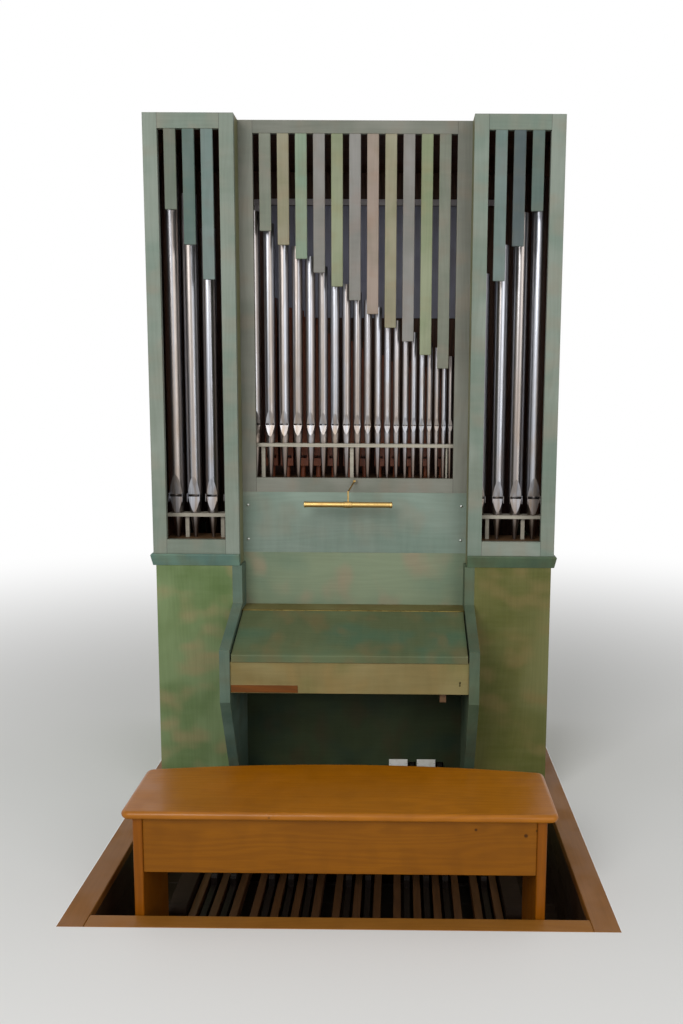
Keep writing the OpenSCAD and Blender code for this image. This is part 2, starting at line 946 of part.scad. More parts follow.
// Semitone number of a wing pipe: the two wings take turns, longest outside
function wing_semitone(side, k) = -2 * k - (side < 0 ? 2 : 1);
function wing_pipe_x(k) = wing_pipe_first + k * wing_pipe_pitch;
centre_foot = centre_mouth_z - centre_chest_z + toe_sink;
wing_foot = wing_mouth_z - wing_chest_z + toe_sink;

module centre_pipes() {
    color("#c9c9cc")
        in_frame()
            for (k = [0:centre_pipe_count - 1])
                translate([centre_pipe_x(k), pipe_y, pit_depth + centre_mouth_z])
                    flue_pipe(bore(k), speaking(k), centre_foot, false);
}

module wing_pipes() {
    color("#c4c4c8")
        in_frame()
            for (side = [-1, 1])
                for (k = [0:wing_pipe_count - 1])
                    let (semitone = wing_semitone(side, k))
                    translate([side * wing_pipe_x(k), wing_pipe_back, pit_depth + wing_mouth_z])
                        flue_pipe(bore(semitone), speaking(semitone), wing_foot, true);
}

// Holes that the feet stand in, a hair wider than the foot at the board's face
module rack_hole(d, foot, z) {
    translate([0, 0, -rack_t - 1])
        cylinder(h = rack_t + 2, r = foot_radius(d, foot, z) + 0.3);
}

module rack_boards() {
    centre_z = centre_rack_z - centre_chest_z + toe_sink;
    wing_z = wing_rack_z - wing_chest_z + toe_sink;
    centre_rack_d = 2 * foot_radius(pipe_d, centre_foot, centre_z) + rack_margin;
    widest = bore(wing_semitone(-1, wing_pipe_count - 1));
    wing_rack_d = 2 * foot_radius(widest, wing_foot, wing_z) + rack_margin;
    centre_end = wing_x - 16;
    color("#a9b3a0")
        in_frame() {
            difference() {
                translate([-centre_end, pipe_y - centre_rack_d / 2, pit_depth + centre_rack_z - rack_t])
                    cube([2 * centre_end, centre_rack_d, rack_t]);
                for (k = [0:centre_pipe_count - 1])
                    translate([centre_pipe_x(k), pipe_y, pit_depth + centre_rack_z])
                        rack_hole(bore(k), centre_foot, centre_z);
            }
            for (k = [0, 7, centre_pipe_count - 2])
                let (x = (centre_pipe_x(k) + centre_pipe_x(k + 1)) / 2)
                let (w = min(rack_post, centre_pipe_x(k + 1) - centre_pipe_x(k)
                    - 2 * foot_radius(bore(k), centre_foot, centre_z) - 2))
                translate([x - w / 2, pipe_y - rack_post / 2, chest_top])
                    cube([w, rack_post, centre_rack_z - rack_t - centre_chest_z + 1]);
            for (side = [-1, 1]) {
                difference() {
                    translate([
                        side * wing_pipe_first - (side > 0 ? 30 : wing_pipe_pitch * (wing_pipe_count - 1) + 32),
                        wing_pipe_back - wing_rack_d / 2,
                        pit_depth + wing_rack_z - rack_t
                    ])
                        cube([wing_pipe_pitch * (wing_pipe_count - 1) + 62, wing_rack_d, rack_t]);
                    for (k = [0:wing_pipe_count - 1])
                        translate([side * wing_pipe_x(k), wing_pipe_back, pit_depth + wing_rack_z])
                            rack_hole(bore(wing_semitone(side, k)), wing_foot, wing_z);
                }
                for (k = [0.45, 2.45])
                    translate([
                        side * wing_pipe_x(k) - rack_post / 2,
                        wing_pipe_back - rack_post / 2,
                        wing_table
                    ])
                        cube([rack_post, rack_post, wing_rack_z - rack_t - wing_chest_z + 1]);
            }
        }
}

module toe_hole() {
    translate([0, 0, -toe_sink])
        cylinder(h = toe_sink + 1, d = tip_d + 0.6 + 2 * toe_sink * 0.2);
}

module wind_chests() {
    chest_x = wing_x - 20;
    front_y = wing_proud + frame_t;
    wing_in = wing_x + side_t;
    wing_out = lower_x - side_t;
    color("#8a6a48")
        in_frame() {
            difference() {
                translate([-chest_x, front_y, chest_top - chest_h])
                    cube([2 * chest_x, centre_chest_d, chest_h]);
                for (k = [0:centre_pipe_count - 1])
                    translate([centre_pipe_x(k), pipe_y, chest_top])
                        toe_hole();
            }
            for (side = [-1, 1])
                difference() {
                    translate([side > 0 ? wing_in : -wing_out, frame_t, wing_table - wing_chest_h])
                        cube([wing_out - wing_in, wing_chest_d, wing_chest_h]);
                    for (k = [0:wing_pipe_count - 1])
                        translate([side * wing_pipe_x(k), wing_pipe_back, wing_table])
                            toe_hole();
                }
        }
}

// A stopped wooden pipe: square trunk, mouth, round foot and stopper handle
module wood_pipe(w, length) {
    depth = 1.25 * w;
    foot = 45;
    cut_up = w / 4;
    difference() {
        translate([-w / 2, -depth / 2, foot])
            cube([w, depth, length]);
        translate([-w / 2 + wood_wall, -depth / 2 + wood_wall, foot + 30])
            cube([w - 2 * wood_wall, depth - 2 * wood_wall, length - 60]);
        translate([-w / 2 + wood_wall, -depth / 2 - 1, foot + 30])
            cube([w - 2 * wood_wall, wood_wall + 2, cut_up]);
    }
    cylinder(h = foot + 1, d = 0.4 * w);
    translate([0, 0, foot + length - 1])
        cylinder(h = 26, d = 0.3 * w);
}

module wood_pipes() {
    color("#7a4a2e")
        in_frame()
            for (k = [0:wood_count - 1])
                translate([
                    (k - (wood_count - 1) / 2) * wood_pitch,
                    pipe_y + wood_back,
                    chest_top
                ])
                    wood_pipe(wood_w * pow(2, -k / 18), wood_len * pow(2, -k / 12));
}

// Bench

// A round disc with a half-round edge, the corner of the bench's top
module bulb_corner(x, y, r) {
    translate([x, y, bench_top_z - bench_t / 2])
        rotate_extrude($fn = 32)
            union() {
                translate([0, -bench_t / 2])
                    square([r - bench_t / 2, bench_t]);
                translate([r - bench_t / 2, 0])
                    intersection() {
                        circle(d = bench_t, $fn = 20);
                        translate([0, -bench_t])
                            square(2 * bench_t);
                    }
            }
}

module bench_top() {
    r = 26;
    end_x = bench_w / 2 - r;
    far_y = bench_front + bench_d - r;
    bow_steps = 10;
    color("#c98a3c")
        in_frame()
            hull() {
                both_sides()
                    bulb_corner(end_x, bench_front + r, r);
                for (k = [0:bow_steps])
                    let (u = 2 * k / bow_steps - 1)
                    bulb_corner(u * end_x, far_y + bench_bow * (1 - u * u), r);
            }
}

module bench_frame() {
    under = bench_top_z - bench_t;
    end_x = bench_ends_w / 2;
    front = -pit_reach + 5;
    back = bench_front + bench_d - 16;
    color("#bf8440")
        in_frame() {
            both_sides()
                translate([end_x - bench_end_t, front, pit_board_t])
                    cube([bench_end_t, back - front, under - pit_board_t]);
            for (y = [front + 6, back - 6 - apron_t])
                translate([-end_x + bench_end_t - 1, y, under - apron_h])
                    cube([2 * (end_x - bench_end_t + 1), apron_t, apron_h]);
        }
}

// Pedalboard

pedal_x0 = -7.5 * pedal_pitch;
axle_z = pedal_top - pedal_h / 2;
pedal_drop = 1.3;

// Place on the natural grid of a pedal, counted from the lowest C
function pedal_step(k) = 7 * floor(k / 12) + octave_steps[k % 12];
function pedal_x(k) = pedal_x0 + pedal_step(k) * pedal_pitch;

module pedal_bar(w, top, toe) {
    low = pedal_top - pedal_h;
    heel_r = (top - low) / 2;
    side_profile(-w / 2, w, concat(
        arc_points([0, low + heel_r], heel_r, 270, 90, 10),
        [
            [toe - 8, top],
            [toe, top - 8],
            [toe, low]
        ]
    ));
}

module pedal(k) {
    sharp = is_sharp(pedal_step(k));
    sharp_from = pedal_len - sharp_back - sharp_len;
    w = sharp ? sharp_w : natural_w;
    top = sharp ? pedal_top - 6 : pedal_top;
    color(sharp ? "#3a2a20" : "#b08d66")
        in_frame()
            translate([pedal_x(k), -pedal_axle_y, 0])
                difference() {
                    union() {
                        pedal_bar(w, top, pedal_len);
                        if (sharp)
                            side_profile(-w / 2, w, concat(
                                [[sharp_from, top - 1]],
                                arc_points([sharp_from + 22, pedal_top + sharp_rise - 18], 18, 160, 90, 6),
                                [
                                    [sharp_from + sharp_len, pedal_top + sharp_rise - 6],
                                    [sharp_from + sharp_len + 6, top - 1]
                                ]
                            ));
                    }
                    translate([-w, 0, axle_z])
                        rotate([0, 90, 0])
                            cylinder(h = 2 * w, d = axle_d + 0.1);
                }
}

module pedal_frame() {
    half = pedal_x(pedal_count - 1) + natural_w / 2 + 8;
    heel_y = -pit_reach + 8;
    toe_y = -pedal_axle_y + pedal_len - 10;
    rail_top = pedal_top - pedal_h - pedal_len * sin(pedal_drop) - 6;
    shoulder_w = 62;
    shoulder_y = -pit_reach + bench_d + 6;
    shoulder_h = pedal_top + 24;
    shoulder_r = 22;
    color("#6b5240")
        in_frame() {
            both_sides() {
                translate([half, heel_y, pit_board_t])
                    cube([pedal_frame_t, toe_y - heel_y, pedal_top - 6 - pit_board_t]);
                side_profile(half, shoulder_w, concat(
                    [
                        [toe_y, pit_board_t],
                        [toe_y, shoulder_h]
                    ],
                    arc_points([shoulder_y + shoulder_r, shoulder_h - shoulder_r], shoulder_r, 90, 180, 8),
                    [[shoulder_y, pit_board_t]]
                ));
            }
            for (y = [heel_y, toe_y - pedal_frame_t])
                translate([-half - 1, y, pit_board_t])
                    cube([2 * half + 2, pedal_frame_t, rail_top - pit_board_t]);
            translate([-half - 1, -pedal_axle_y, axle_z])
                rotate([0, 90, 0])
                    cylinder(h = 2 * half + 2, d = axle_d);
        }
}

// Lamp

lamp_x = 0;
knuckle_y = wing_proud - 12;
knuckle_z = pit_depth + lamp_z;

module lamp_bracket() {
    plate_d = 20;
    translate([lamp_x, wing_proud + eps, knuckle_z - 2])
        rotate([90, 0, 0])
            cylinder(h = 3, d = plate_d);
    for (side = [-1, 1])
        translate([lamp_x + side * 5.7 - 1, knuckle_y - 4, knuckle_z - 4])
            cube([2, wing_proud - knuckle_y + 2, 8]);
    translate([lamp_x - 5.5, knuckle_y, knuckle_z])
        rotate([0, 90, 0])
            cylinder(h = 11, d = 3);
}

module lamp() {
    elbow = [-lamp_side, -lamp_reach, -0.4 * lamp_drop];
    arm_len = norm(elbow);
    tube_r = lamp_d / 2;
    color("#c9a04a")
        in_frame()
            translate([lamp_x, knuckle_y, knuckle_z])
                difference() {
                    union() {
                        translate([-3.9, 0, 0])
                            rotate([0, 90, 0])
                                cylinder(h = 7.8, d = 9);
                        rotate([0, acos(elbow[2] / arm_len), atan2(elbow[1], elbow[0])])
                            cylinder(h = arm_len, d = arm_d);
                        translate(elbow)
                            sphere(d = arm_d + 1);
                        translate([-lamp_side, -lamp_reach, -lamp_drop + tube_r])
                            cylinder(h = elbow[2] + lamp_drop - tube_r, d = arm_d);
                        translate([-lamp_side - lamp_len / 2, -lamp_reach, -lamp_drop])
                            rotate([0, 90, 0])
                                cylinder(h = lamp_len, d = lamp_d);
                        translate([-lamp_side - 12, -lamp_reach, -lamp_drop])
                            rotate([0, 90, 0])
                                cylinder(h = 24, d = lamp_d + 3);
                    }
                    translate([-lamp_side - lamp_len / 2 + 4, -lamp_reach, -lamp_drop])
                        rotate([0, 90, 0])
                            cylinder(h = lamp_len - 8, d = lamp_d - 3);
                    translate([-lamp_side - lamp_len / 2 + 12, -lamp_reach - 4, -lamp_drop - lamp_d])
                        cube([lamp_len - 24, 8, lamp_d]);
                    translate([-6, 0, 0])
                        rotate([0, 90, 0])
                            cylinder(h = 12, d = 3.1);
                }
}

pit_floor();
pit_lining();
kerb_rails();
side_walls();
wing_returns();
lower_front_panels();
cheeks();
belt_rails();
wing_frames();
centre_frame();
slats();
case_back();
case_roof();
music_desk_panel();
desk_panel();
desk_ledge();
key_slip();
key_bed();
manual_keys();
knee_panel();
centre_pipes();
wing_pipes();
rack_boards();
wind_chests();
wood_pipes();
bench_top();
bench_frame();
pedal_frame();
lid();
lamp();
coupler_lever_left();
coupler_lever_right();
for (k = [1:pedal_count])
    pedal(k - 1);
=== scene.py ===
"""Looks of a chamber pipe organ that stands in a boarded floor recess.

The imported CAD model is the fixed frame. This script gives its nodes procedural
finishes, adds the small pieces that the CAD leaves out, and sets the stage,
the lights and the camera. All lengths are in metres.
"""

from __future__ import annotations

import logging
import math
from dataclasses import dataclass
from enum import Enum
from typing import Iterable, Iterator, Sequence

import bpy
import numpy as np
from mathutils import Matrix, Vector

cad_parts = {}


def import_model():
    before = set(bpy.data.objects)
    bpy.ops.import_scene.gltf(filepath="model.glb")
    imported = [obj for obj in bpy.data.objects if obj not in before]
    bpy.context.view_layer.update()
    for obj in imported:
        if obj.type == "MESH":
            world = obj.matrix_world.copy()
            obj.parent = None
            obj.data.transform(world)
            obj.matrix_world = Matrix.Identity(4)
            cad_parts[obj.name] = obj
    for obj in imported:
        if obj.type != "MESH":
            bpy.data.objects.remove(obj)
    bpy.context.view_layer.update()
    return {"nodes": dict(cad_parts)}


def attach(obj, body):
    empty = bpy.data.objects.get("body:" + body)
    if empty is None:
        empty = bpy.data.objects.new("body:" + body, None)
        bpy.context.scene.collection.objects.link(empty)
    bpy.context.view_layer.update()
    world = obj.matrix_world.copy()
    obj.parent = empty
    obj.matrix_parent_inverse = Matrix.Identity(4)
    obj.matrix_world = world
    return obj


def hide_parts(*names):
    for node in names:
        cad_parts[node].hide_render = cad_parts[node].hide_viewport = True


LOG = logging.getLogger("organ")

Colour = tuple[float, float, float]
Point = tuple[float, float, float]
Profile = Sequence[tuple[float, float]]
Socket = bpy.types.NodeSocket

# The mesh attribute that holds each board's own tone
TONE = "tone"
# A point inside the case, by which the inner faces of its walls are told
CASE_MIDDLE: Point = (0.0, 0.42, 1.6)
WHITE: Colour = (1.0, 1.0, 1.0)
BLACK: Colour = (0.0, 0.0, 0.0)
# What the grain's shade multiplies a stain by
GRAIN_SHADE: Colour = (0.4, 0.4, 0.36)
SEAM_DARK: Colour = (0.02, 0.018, 0.014)
BARE_DARK: Colour = (0.012, 0.006, 0.004)
SPECK_DARK: Colour = (0.08, 0.07, 0.06)
# The brown of the painted dark reflection towards the pipes' foot tips
FOOT_DARK_REFLECTION: Colour = (0.13, 0.09, 0.065)


def srgb(code: str) -> Colour:
    """Turns a colour code into linear values.

    Args:
        code: Six hexadecimal digits, as in a style sheet.

    Returns:
        Linear red, green and blue.
    """
    parts = [int(code[i : i + 2], 16) / 255 for i in (0, 2, 4)]
    return tuple(p / 12.92 if p <= 0.04045 else ((p + 0.055) / 1.055) ** 2.4 for p in parts)


def shaded(colour: Colour, factor: float) -> Colour:
    """Scales a colour, and keeps it under white.

    Args:
        colour: The linear colour.
        factor: How much lighter or darker it becomes.

    Returns:
        The new colour.
    """
    return tuple(min(1.0, factor * part) for part in colour)


def placed(name: str, data: bpy.types.ID) -> bpy.types.Object:
    """Makes an object and puts it into the scene.

    Args:
        name: Its name.
        data: Its mesh, light or camera.

    Returns:
        The object.
    """
    made = bpy.data.objects.new(name, data)
    bpy.context.scene.collection.objects.link(made)
    return made


class Axis(Enum):
    """The direction in which a board's grain runs."""

    X = 0
    Y = 1
    Z = 2


@dataclass(frozen=True)
class FrameSizes:
    """Lengths of the CAD model that several classes follow, before its shift."""

    tile_level: float = 0.320
    shift_y: float = -0.0075
    board: float = 0.018
    lining: float = 0.020
    pit_half: float = 0.735
    pit_front: float = -0.841
    pit_back: float = 0.856
    kerb_low: float = 0.292
    kerb_half: float = 0.815
    kerb_front: float = -0.903
    kerb_back: float = 0.918
    cheek_half: float = 0.413
    centre_half: float = 0.4215


SIZES = FrameSizes()


class Nodes:
    """A thin helper that builds shader nodes in one tree."""

    def __init__(self, tree: bpy.types.NodeTree) -> None:
        """Keeps the tree.

        Args:
            tree: The node tree to build in.
        """
        self.tree = tree

    def add(self, kind: str, inputs: dict | None = None, **settings: object) -> bpy.types.Node:
        """Adds one node.

        Args:
            kind: The node's type without its ShaderNode prefix.
            inputs: Values or sockets by input name or index.
            **settings: Properties of the node.

        Returns:
            The new node.
        """
        node = self.tree.nodes.new("ShaderNode" + kind)
        for name, value in settings.items():
            setattr(node, name, value)
        for key, value in (inputs or {}).items():
            self.put(node.inputs[key], value)
        return node

    def put(self, socket: Socket, value: object) -> None:
        """Links a socket or sets a constant.

        Args:
            socket: The input to fill.
            value: A socket to link from, a number or a vector or colour.
        """
        if isinstance(value, bpy.types.NodeSocket):
            self.tree.links.new(value, socket)
        elif socket.type == "RGBA" and len(value) == 3:
            socket.default_value = (*value, 1.0)
        else:
            socket.default_value = value

    def math(self, operation: str, *values: object) -> Socket:
        """Adds a math node.

        Args:
            operation: The node's operation.
            *values: Numbers or sockets for its inputs.

        Returns:
            The result socket.
        """
        return self.add("Math", dict(enumerate(values)), operation=operation).outputs[0]

    def plus(self, first: object, second: object) -> Socket:
        """Adds two numbers or sockets."""
        return self.math("ADD", first, second)

    def minus(self, first: object, second: object) -> Socket:
        """Takes the second number or socket from the first."""
        return self.math("SUBTRACT", first, second)

    def times(self, first: object, second: object) -> Socket:
        """Multiplies two numbers or sockets."""
        return self.math("MULTIPLY", first, second)

    def size(self, value: object) -> Socket:
        """Gives a number without its sign."""
        return self.math("ABSOLUTE", value)

    def parts(self, vector: object) -> bpy.types.NodeOutputs:
        """Gives a vector's x, y and z."""
        return self.add("SeparateXYZ", {0: vector}).outputs

    def vector(self, operation: str, *values: object) -> bpy.types.NodeOutputs:
        """Adds a vector math node.

        Args:
            operation: The node's operation.
            *values: Vectors or sockets for its inputs.

        Returns:
            Its outputs, a vector and a value.
        """
        return self.add("VectorMath", dict(enumerate(values)), operation=operation).outputs

    def remap(
        self, value: object, low: float, high: float, to: tuple[float, float] = (0.0, 1.0)
    ) -> Socket:
        """Maps a range smoothly onto another.

        Args:
            value: The input value.
            low: The input that gives the first result.
            high: The input that gives the second result.
            to: The two results.

        Returns:
            The result socket.
        """
        inputs = {0: value, 1: low, 2: high, 3: to[0], 4: to[1]}
        return self.add("MapRange", inputs, interpolation_type="SMOOTHSTEP").outputs[0]

    def mix(self, share: object, first: object, second: object, blend: str = "MIX") -> Socket:
        """Mixes two colours.

        Args:
            share: How much of the second colour shows.
            first: The first colour.
            second: The second colour.
            blend: The blend mode.

        Returns:
            The mixed colour.
        """
        node = self.add("Mix", data_type="RGBA", blend_type=blend)
        self.put(node.inputs[0], share)
        self.put(node.inputs[6], first)
        self.put(node.inputs[7], second)
        return node.outputs[2]

    def lay(self, under: object, over: object, mask: object, share: float) -> Socket:
        """Lays a colour over another through a mask.

        Args:
            under: The colour beneath.
            over: The colour that is laid over it.
            mask: Where it lies, from 0 to 1.
            share: How much of it shows where the mask is full.

        Returns:
            The mixed colour.
        """
        return self.mix(self.times(mask, share), under, over)

    def noise(
        self, vector: object, detail: float = 3.0, rough: float = 0.55, warp: float = 0.0
    ) -> Socket:
        """Adds a noise texture.

        Args:
            vector: Where it is read.
            detail: Its octaves.
            rough: How strong the fine octaves are.
            warp: Its distortion.

        Returns:
            The value, from 0 to 1.
        """
        inputs = {"Vector": vector, "Scale": 1.0, "Detail": detail, "Roughness": rough, "Distortion": warp}
        return self.add("TexNoise", inputs).outputs[0]

    def stretch(self, vector: object, factors: Point, offset: Point = (0.0, 0.0, 0.0)) -> Socket:
        """Scales and moves a coordinate.

        Args:
            vector: The coordinate.
            factors: Scale along each axis.
            offset: What is added afterwards.

        Returns:
            The new coordinate.
        """
        return self.vector("MULTIPLY_ADD", vector, factors, offset)[0]

    def turned(self, at: Socket, axis: Axis) -> Socket:
        """Turns a coordinate so that the grain runs along z.

        Args:
            at: The coordinate.
            axis: The grain's direction.

        Returns:
            The turned coordinate.
        """
        if axis is Axis.Z:
            return at
        x, y, z = self.parts(at)
        order = (y, z, x) if axis is Axis.X else (z, x, y)
        return self.add("CombineXYZ", dict(enumerate(order))).outputs[0]

    def seen(self) -> Socket:
        """Tells the rays that see the scene, also in a mirror or through glass.

        Returns:
            One on those rays, and nought on the rays that light the object.
        """
        rays = self.add("LightPath").outputs
        mirrored = self.math("MAXIMUM", rays["Is Glossy Ray"], rays["Is Transmission Ray"])
        return self.math("MAXIMUM", rays["Is Camera Ray"], mirrored)


@dataclass(frozen=True)
class Marks:
    """One kind of mark on a surface: noise read at a stretched place, made sharper.

    The spread is how many marks come in a metre along each axis. A mark begins
    where the noise passes the low value and is full at the high one.
    """

    spread: Point
    low: float
    high: float
    detail: float = 3.0
    rough: float = 0.55
    warp: float = 0.0
    offset: Point = (0.0, 0.0, 0.0)

    def draw(self, n: Nodes, at: Socket) -> Socket:
        """Adds the marks' nodes.

        Args:
            n: The tree's helper.
            at: The coordinate.

        Returns:
            The mask, from 0 to 1.
        """
        place = n.stretch(at, self.spread, self.offset)
        return n.remap(n.noise(place, self.detail, self.rough, self.warp), self.low, self.high)


class SharedGroups:
    """Node groups that several finishes use. They give masks, values or normals only."""

    RING_STEPS = (300.0, 190.0)
    RING_RANGE = (-0.8, 1.0)
    RING_BEND = 75.0
    BEND_SPREAD = (7.0, 7.0, 0.9)
    SEED_SLANT = 1.7
    FIBRES = Marks((420.0, 420.0, 9.0), low=0.3, high=0.7, detail=4.0, rough=0.6)
    PORES = Marks((900.0, 900.0, 40.0), low=0.66, high=0.76, detail=1.0, rough=0.5)
    CLOUDS = Marks((2.6, 2.6, 2.0), low=0.36, high=0.64, detail=3.0, rough=0.5, warp=0.5)
    PATCHES = Marks((6.0, 6.0, 5.0), low=0.42, high=0.68, detail=2.0, rough=0.5)
    BLOTS = Marks((9.0, 9.0, 13.0), low=0.46, high=0.74, detail=1.5, rough=0.45)
    WIPED = Marks((5.0, 5.0, 42.0), low=0.36, high=0.7, detail=3.0, rough=0.6)
    BROKEN = Marks((55.0, 55.0, 55.0), low=0.38, high=0.62, detail=4.0, rough=0.65)
    # Cosines between the flat and the rounded normal at which wear begins and is full
    WEAR_RANGE = (0.995, 0.86)

    def __init__(self) -> None:
        """Makes every group once."""
        self.grain = self._grain()
        self.stain = self._stain()
        self.edge = self._edge()

    @staticmethod
    def _new(name: str, inputs: Iterable[tuple[str, str, object]], outputs: Iterable[str]) -> tuple:
        """Starts a group.

        Args:
            name: The group's name.
            inputs: Name, socket type and default of each input.
            outputs: Names of the float outputs.

        Returns:
            The tree, its helper, its input node and its output node.
        """
        tree = bpy.data.node_groups.new(name, "ShaderNodeTree")
        for label, kind, default in inputs:
            socket = tree.interface.new_socket(label, in_out="INPUT", socket_type=kind)
            if default is not None:
                socket.default_value = default
        for label in outputs:
            tree.interface.new_socket(label, in_out="OUTPUT", socket_type="NodeSocketFloat")
        start = tree.nodes.new("NodeGroupInput")
        end = tree.nodes.new("NodeGroupOutput")
        return tree, Nodes(tree), start, end

    def _grain(self) -> bpy.types.NodeTree:
        """Wood grain: bent year rings, fibres and pores along the local z axis.

        The rings are the sine of 300 x + 190 y, bent by 75 times a slow noise.

        Returns:
            The group, with outputs Rings, Fibres and Pores.
        """
        tree, n, start, end = self._new(
            "wood_grain",
            [("Vector", "NodeSocketVector", None), ("Seed", "NodeSocketFloat", 0.0)],
            ["Rings", "Fibres", "Pores"],
        )
        along = start.outputs["Seed"]
        seed = n.add("CombineXYZ", {0: along, 1: n.times(along, self.SEED_SLANT)}).outputs[0]
        at = n.vector("ADD", start.outputs["Vector"], seed)[0]
        bend = n.noise(n.stretch(at, self.BEND_SPREAD), 3.0, 0.5)
        x, y, _ = n.parts(at)
        across = n.plus(n.times(x, self.RING_STEPS[0]), n.times(y, self.RING_STEPS[1]))
        rings = n.math("SINE", n.plus(across, n.times(bend, self.RING_BEND)))
        n.put(end.inputs["Rings"], n.remap(rings, *self.RING_RANGE))
        n.put(end.inputs["Fibres"], self.FIBRES.draw(n, at))
        n.put(end.inputs["Pores"], self.PORES.draw(n, at))
        return tree

    def _stain(self) -> bpy.types.NodeTree:
        """Uneven stain: wide clouds, patches, small blots and brush bands across z.

        Returns:
            The group, with outputs Clouds, Patches, Blots and Wiped.
        """
        kinds = {"Clouds": self.CLOUDS, "Patches": self.PATCHES, "Blots": self.BLOTS, "Wiped": self.WIPED}
        tree, n, start, end = self._new(
            "uneven_stain",
            [("Vector", "NodeSocketVector", None), ("Scale", "NodeSocketFloat", 1.0)],
            kinds,
        )
        place, scale = start.outputs["Vector"], start.outputs["Scale"]
        at = n.add("VectorMath", {0: place, "Scale": scale}, operation="SCALE").outputs[0]
        for label, marks in kinds.items():
            n.put(end.inputs[label], marks.draw(n, at))
        return tree

    def _edge(self) -> bpy.types.NodeTree:
        """Edges: where the rounded normal leaves the flat one, broken up by noise.

        Returns:
            The group, with the outputs Wear and Round.
        """
        tree, n, start, end = self._new(
            "edge_wear",
            [("Vector", "NodeSocketVector", None), ("Radius", "NodeSocketFloat", 0.002)],
            ["Wear"],
        )
        tree.interface.new_socket("Round", in_out="OUTPUT", socket_type="NodeSocketVector")
        soft = n.add("Bevel", {"Radius": start.outputs["Radius"]}, samples=4).outputs[0]
        flat = n.add("NewGeometry").outputs["Normal"]
        same = n.vector("DOT_PRODUCT", soft, flat)["Value"]
        broken = self.BROKEN.draw(n, start.outputs["Vector"])
        n.put(end.inputs["Wear"], n.times(n.remap(same, *self.WEAR_RANGE), broken))
        n.put(end.inputs["Round"], soft)
        return tree


@dataclass(frozen=True)
class Canvas:
    """What a finish paints on: a tree, the shared groups, the surface and its place."""

    n: Nodes
    groups: SharedGroups
    surface: bpy.types.Node
    at: Socket

    def put(self, name: str, value: object) -> None:
        """Fills one of the surface's inputs.

        Args:
            name: The input's name.
            value: A socket, a number or a colour.
        """
        self.n.put(self.surface.inputs[name], value)

    def relief(self, height: Socket, depth: float, rounded: Socket | None = None) -> None:
        """Turns a height into the surface's normal.

        Args:
            height: The height, from 0 to 1.
            depth: How deep it is.
            rounded: The normal that the relief starts from.
        """
        bump = self.n.add("Bump", {"Height": height, "Strength": 1.0, "Distance": depth})
        if rounded is not None:
            self.n.put(bump.inputs["Normal"], rounded)
        self.put("Normal", bump.outputs[0])


@dataclass(frozen=True)
class Finish:
    """What every finish has: a name and a way to build its material."""

    name: str

    def build(self, groups: SharedGroups) -> bpy.types.Material:
        """Builds the material.

        Args:
            groups: The shared node groups.

        Returns:
            The finished material.
        """
        material = bpy.data.materials.new(self.name)
        material.use_nodes = True
        tree = material.node_tree
        tree.nodes.clear()
        n = Nodes(tree)
        surface = n.add("BsdfPrincipled")
        output = n.add("OutputMaterial")
        tree.links.new(surface.outputs[0], output.inputs[0])
        self.paint(Canvas(n, groups, surface, n.add("TexCoord").outputs["Object"]))
        return material

    def paint(self, canvas: Canvas) -> None:
        """Fills in the surface. Each finish has its own.

        Args:
            canvas: What it paints on.
        """
        raise NotImplementedError


@dataclass(frozen=True)
class WoodMasks:
    """What the shared groups give on one wooden surface."""

    # How far a board's tone of one moves its grain, and a seed of one its stain
    TONE_SHIFT = 9.0
    SEED_SHIFT = (3.1, 1.3, 2.7)

    tone: Socket
    grain: bpy.types.NodeOutputs
    stain: bpy.types.NodeOutputs
    edge: bpy.types.NodeOutputs

    @classmethod
    def read(cls, canvas: Canvas, lie: Socket, axis: Axis, seed: float, scale: float) -> WoodMasks:
        """Adds the groups. Every board's own tone moves its grain, so neighbours differ.

        Args:
            canvas: What the finish paints on.
            lie: The coordinate, with the rails already turned.
            axis: The grain's direction.
            seed: Where the noise is read.
            scale: The size of the stain's marks.

        Returns:
            The masks.
        """
        n, groups = canvas.n, canvas.groups
        tone = n.add("Attribute", attribute_name=TONE).outputs["Fac"]
        along = n.turned(lie, axis)
        moved = n.vector("ADD", along, tuple(seed * part for part in cls.SEED_SHIFT))[0]
        grain = n.add("Group", node_tree=groups.grain)
        n.put(grain.inputs["Vector"], along)
        n.put(grain.inputs["Seed"], n.plus(n.times(tone, cls.TONE_SHIFT), seed))
        stain = n.add("Group", node_tree=groups.stain)
        n.put(stain.inputs["Vector"], moved)
        n.put(stain.inputs["Scale"], scale)
        edge = n.add("Group", node_tree=groups.edge)
        n.put(edge.inputs["Vector"], lie)
        return cls(tone, grain.outputs, stain.outputs, edge.outputs)


@dataclass(frozen=True)
class Stain:
    """Four colours that lie over each other in one uneven stain."""

    base: str
    cloud: str
    patch: str
    blot: str

    def colours(self) -> list[Colour]:
        """Gives the linear colours in the order base, cloud, patch and blot."""
        return [srgb(code) for code in (self.base, self.cloud, self.patch, self.blot)]


@dataclass(frozen=True)
class Rails:
    """Where a frame's rails are: between its stiles, above and below its opening."""

    near: float
    far: float
    low: float
    high: float
    seam_half: float = 0.0007
    lap: float = 0.0005

    def mask(self, n: Nodes, at: Socket) -> tuple[Socket, Socket]:
        """Finds the rails and the seams at their ends.

        Args:
            n: The tree's helper.
            at: The object coordinate.

        Returns:
            One on the rails, and one on the thin seams.
        """
        x, _, z = n.parts(at)
        middle, reach = (self.near + self.far) / 2, (self.far - self.near) / 2
        over = n.minus(n.size(n.minus(n.size(x), middle)), reach)
        away = n.size(n.minus(z, (self.low + self.high) / 2))
        outside = n.math("GREATER_THAN", away, (self.high - self.low) / 2 - self.lap)
        rail = n.times(n.math("LESS_THAN", over, 0.0), outside)
        seam = n.times(n.math("LESS_THAN", n.size(over), self.seam_half), outside)
        return rail, seam


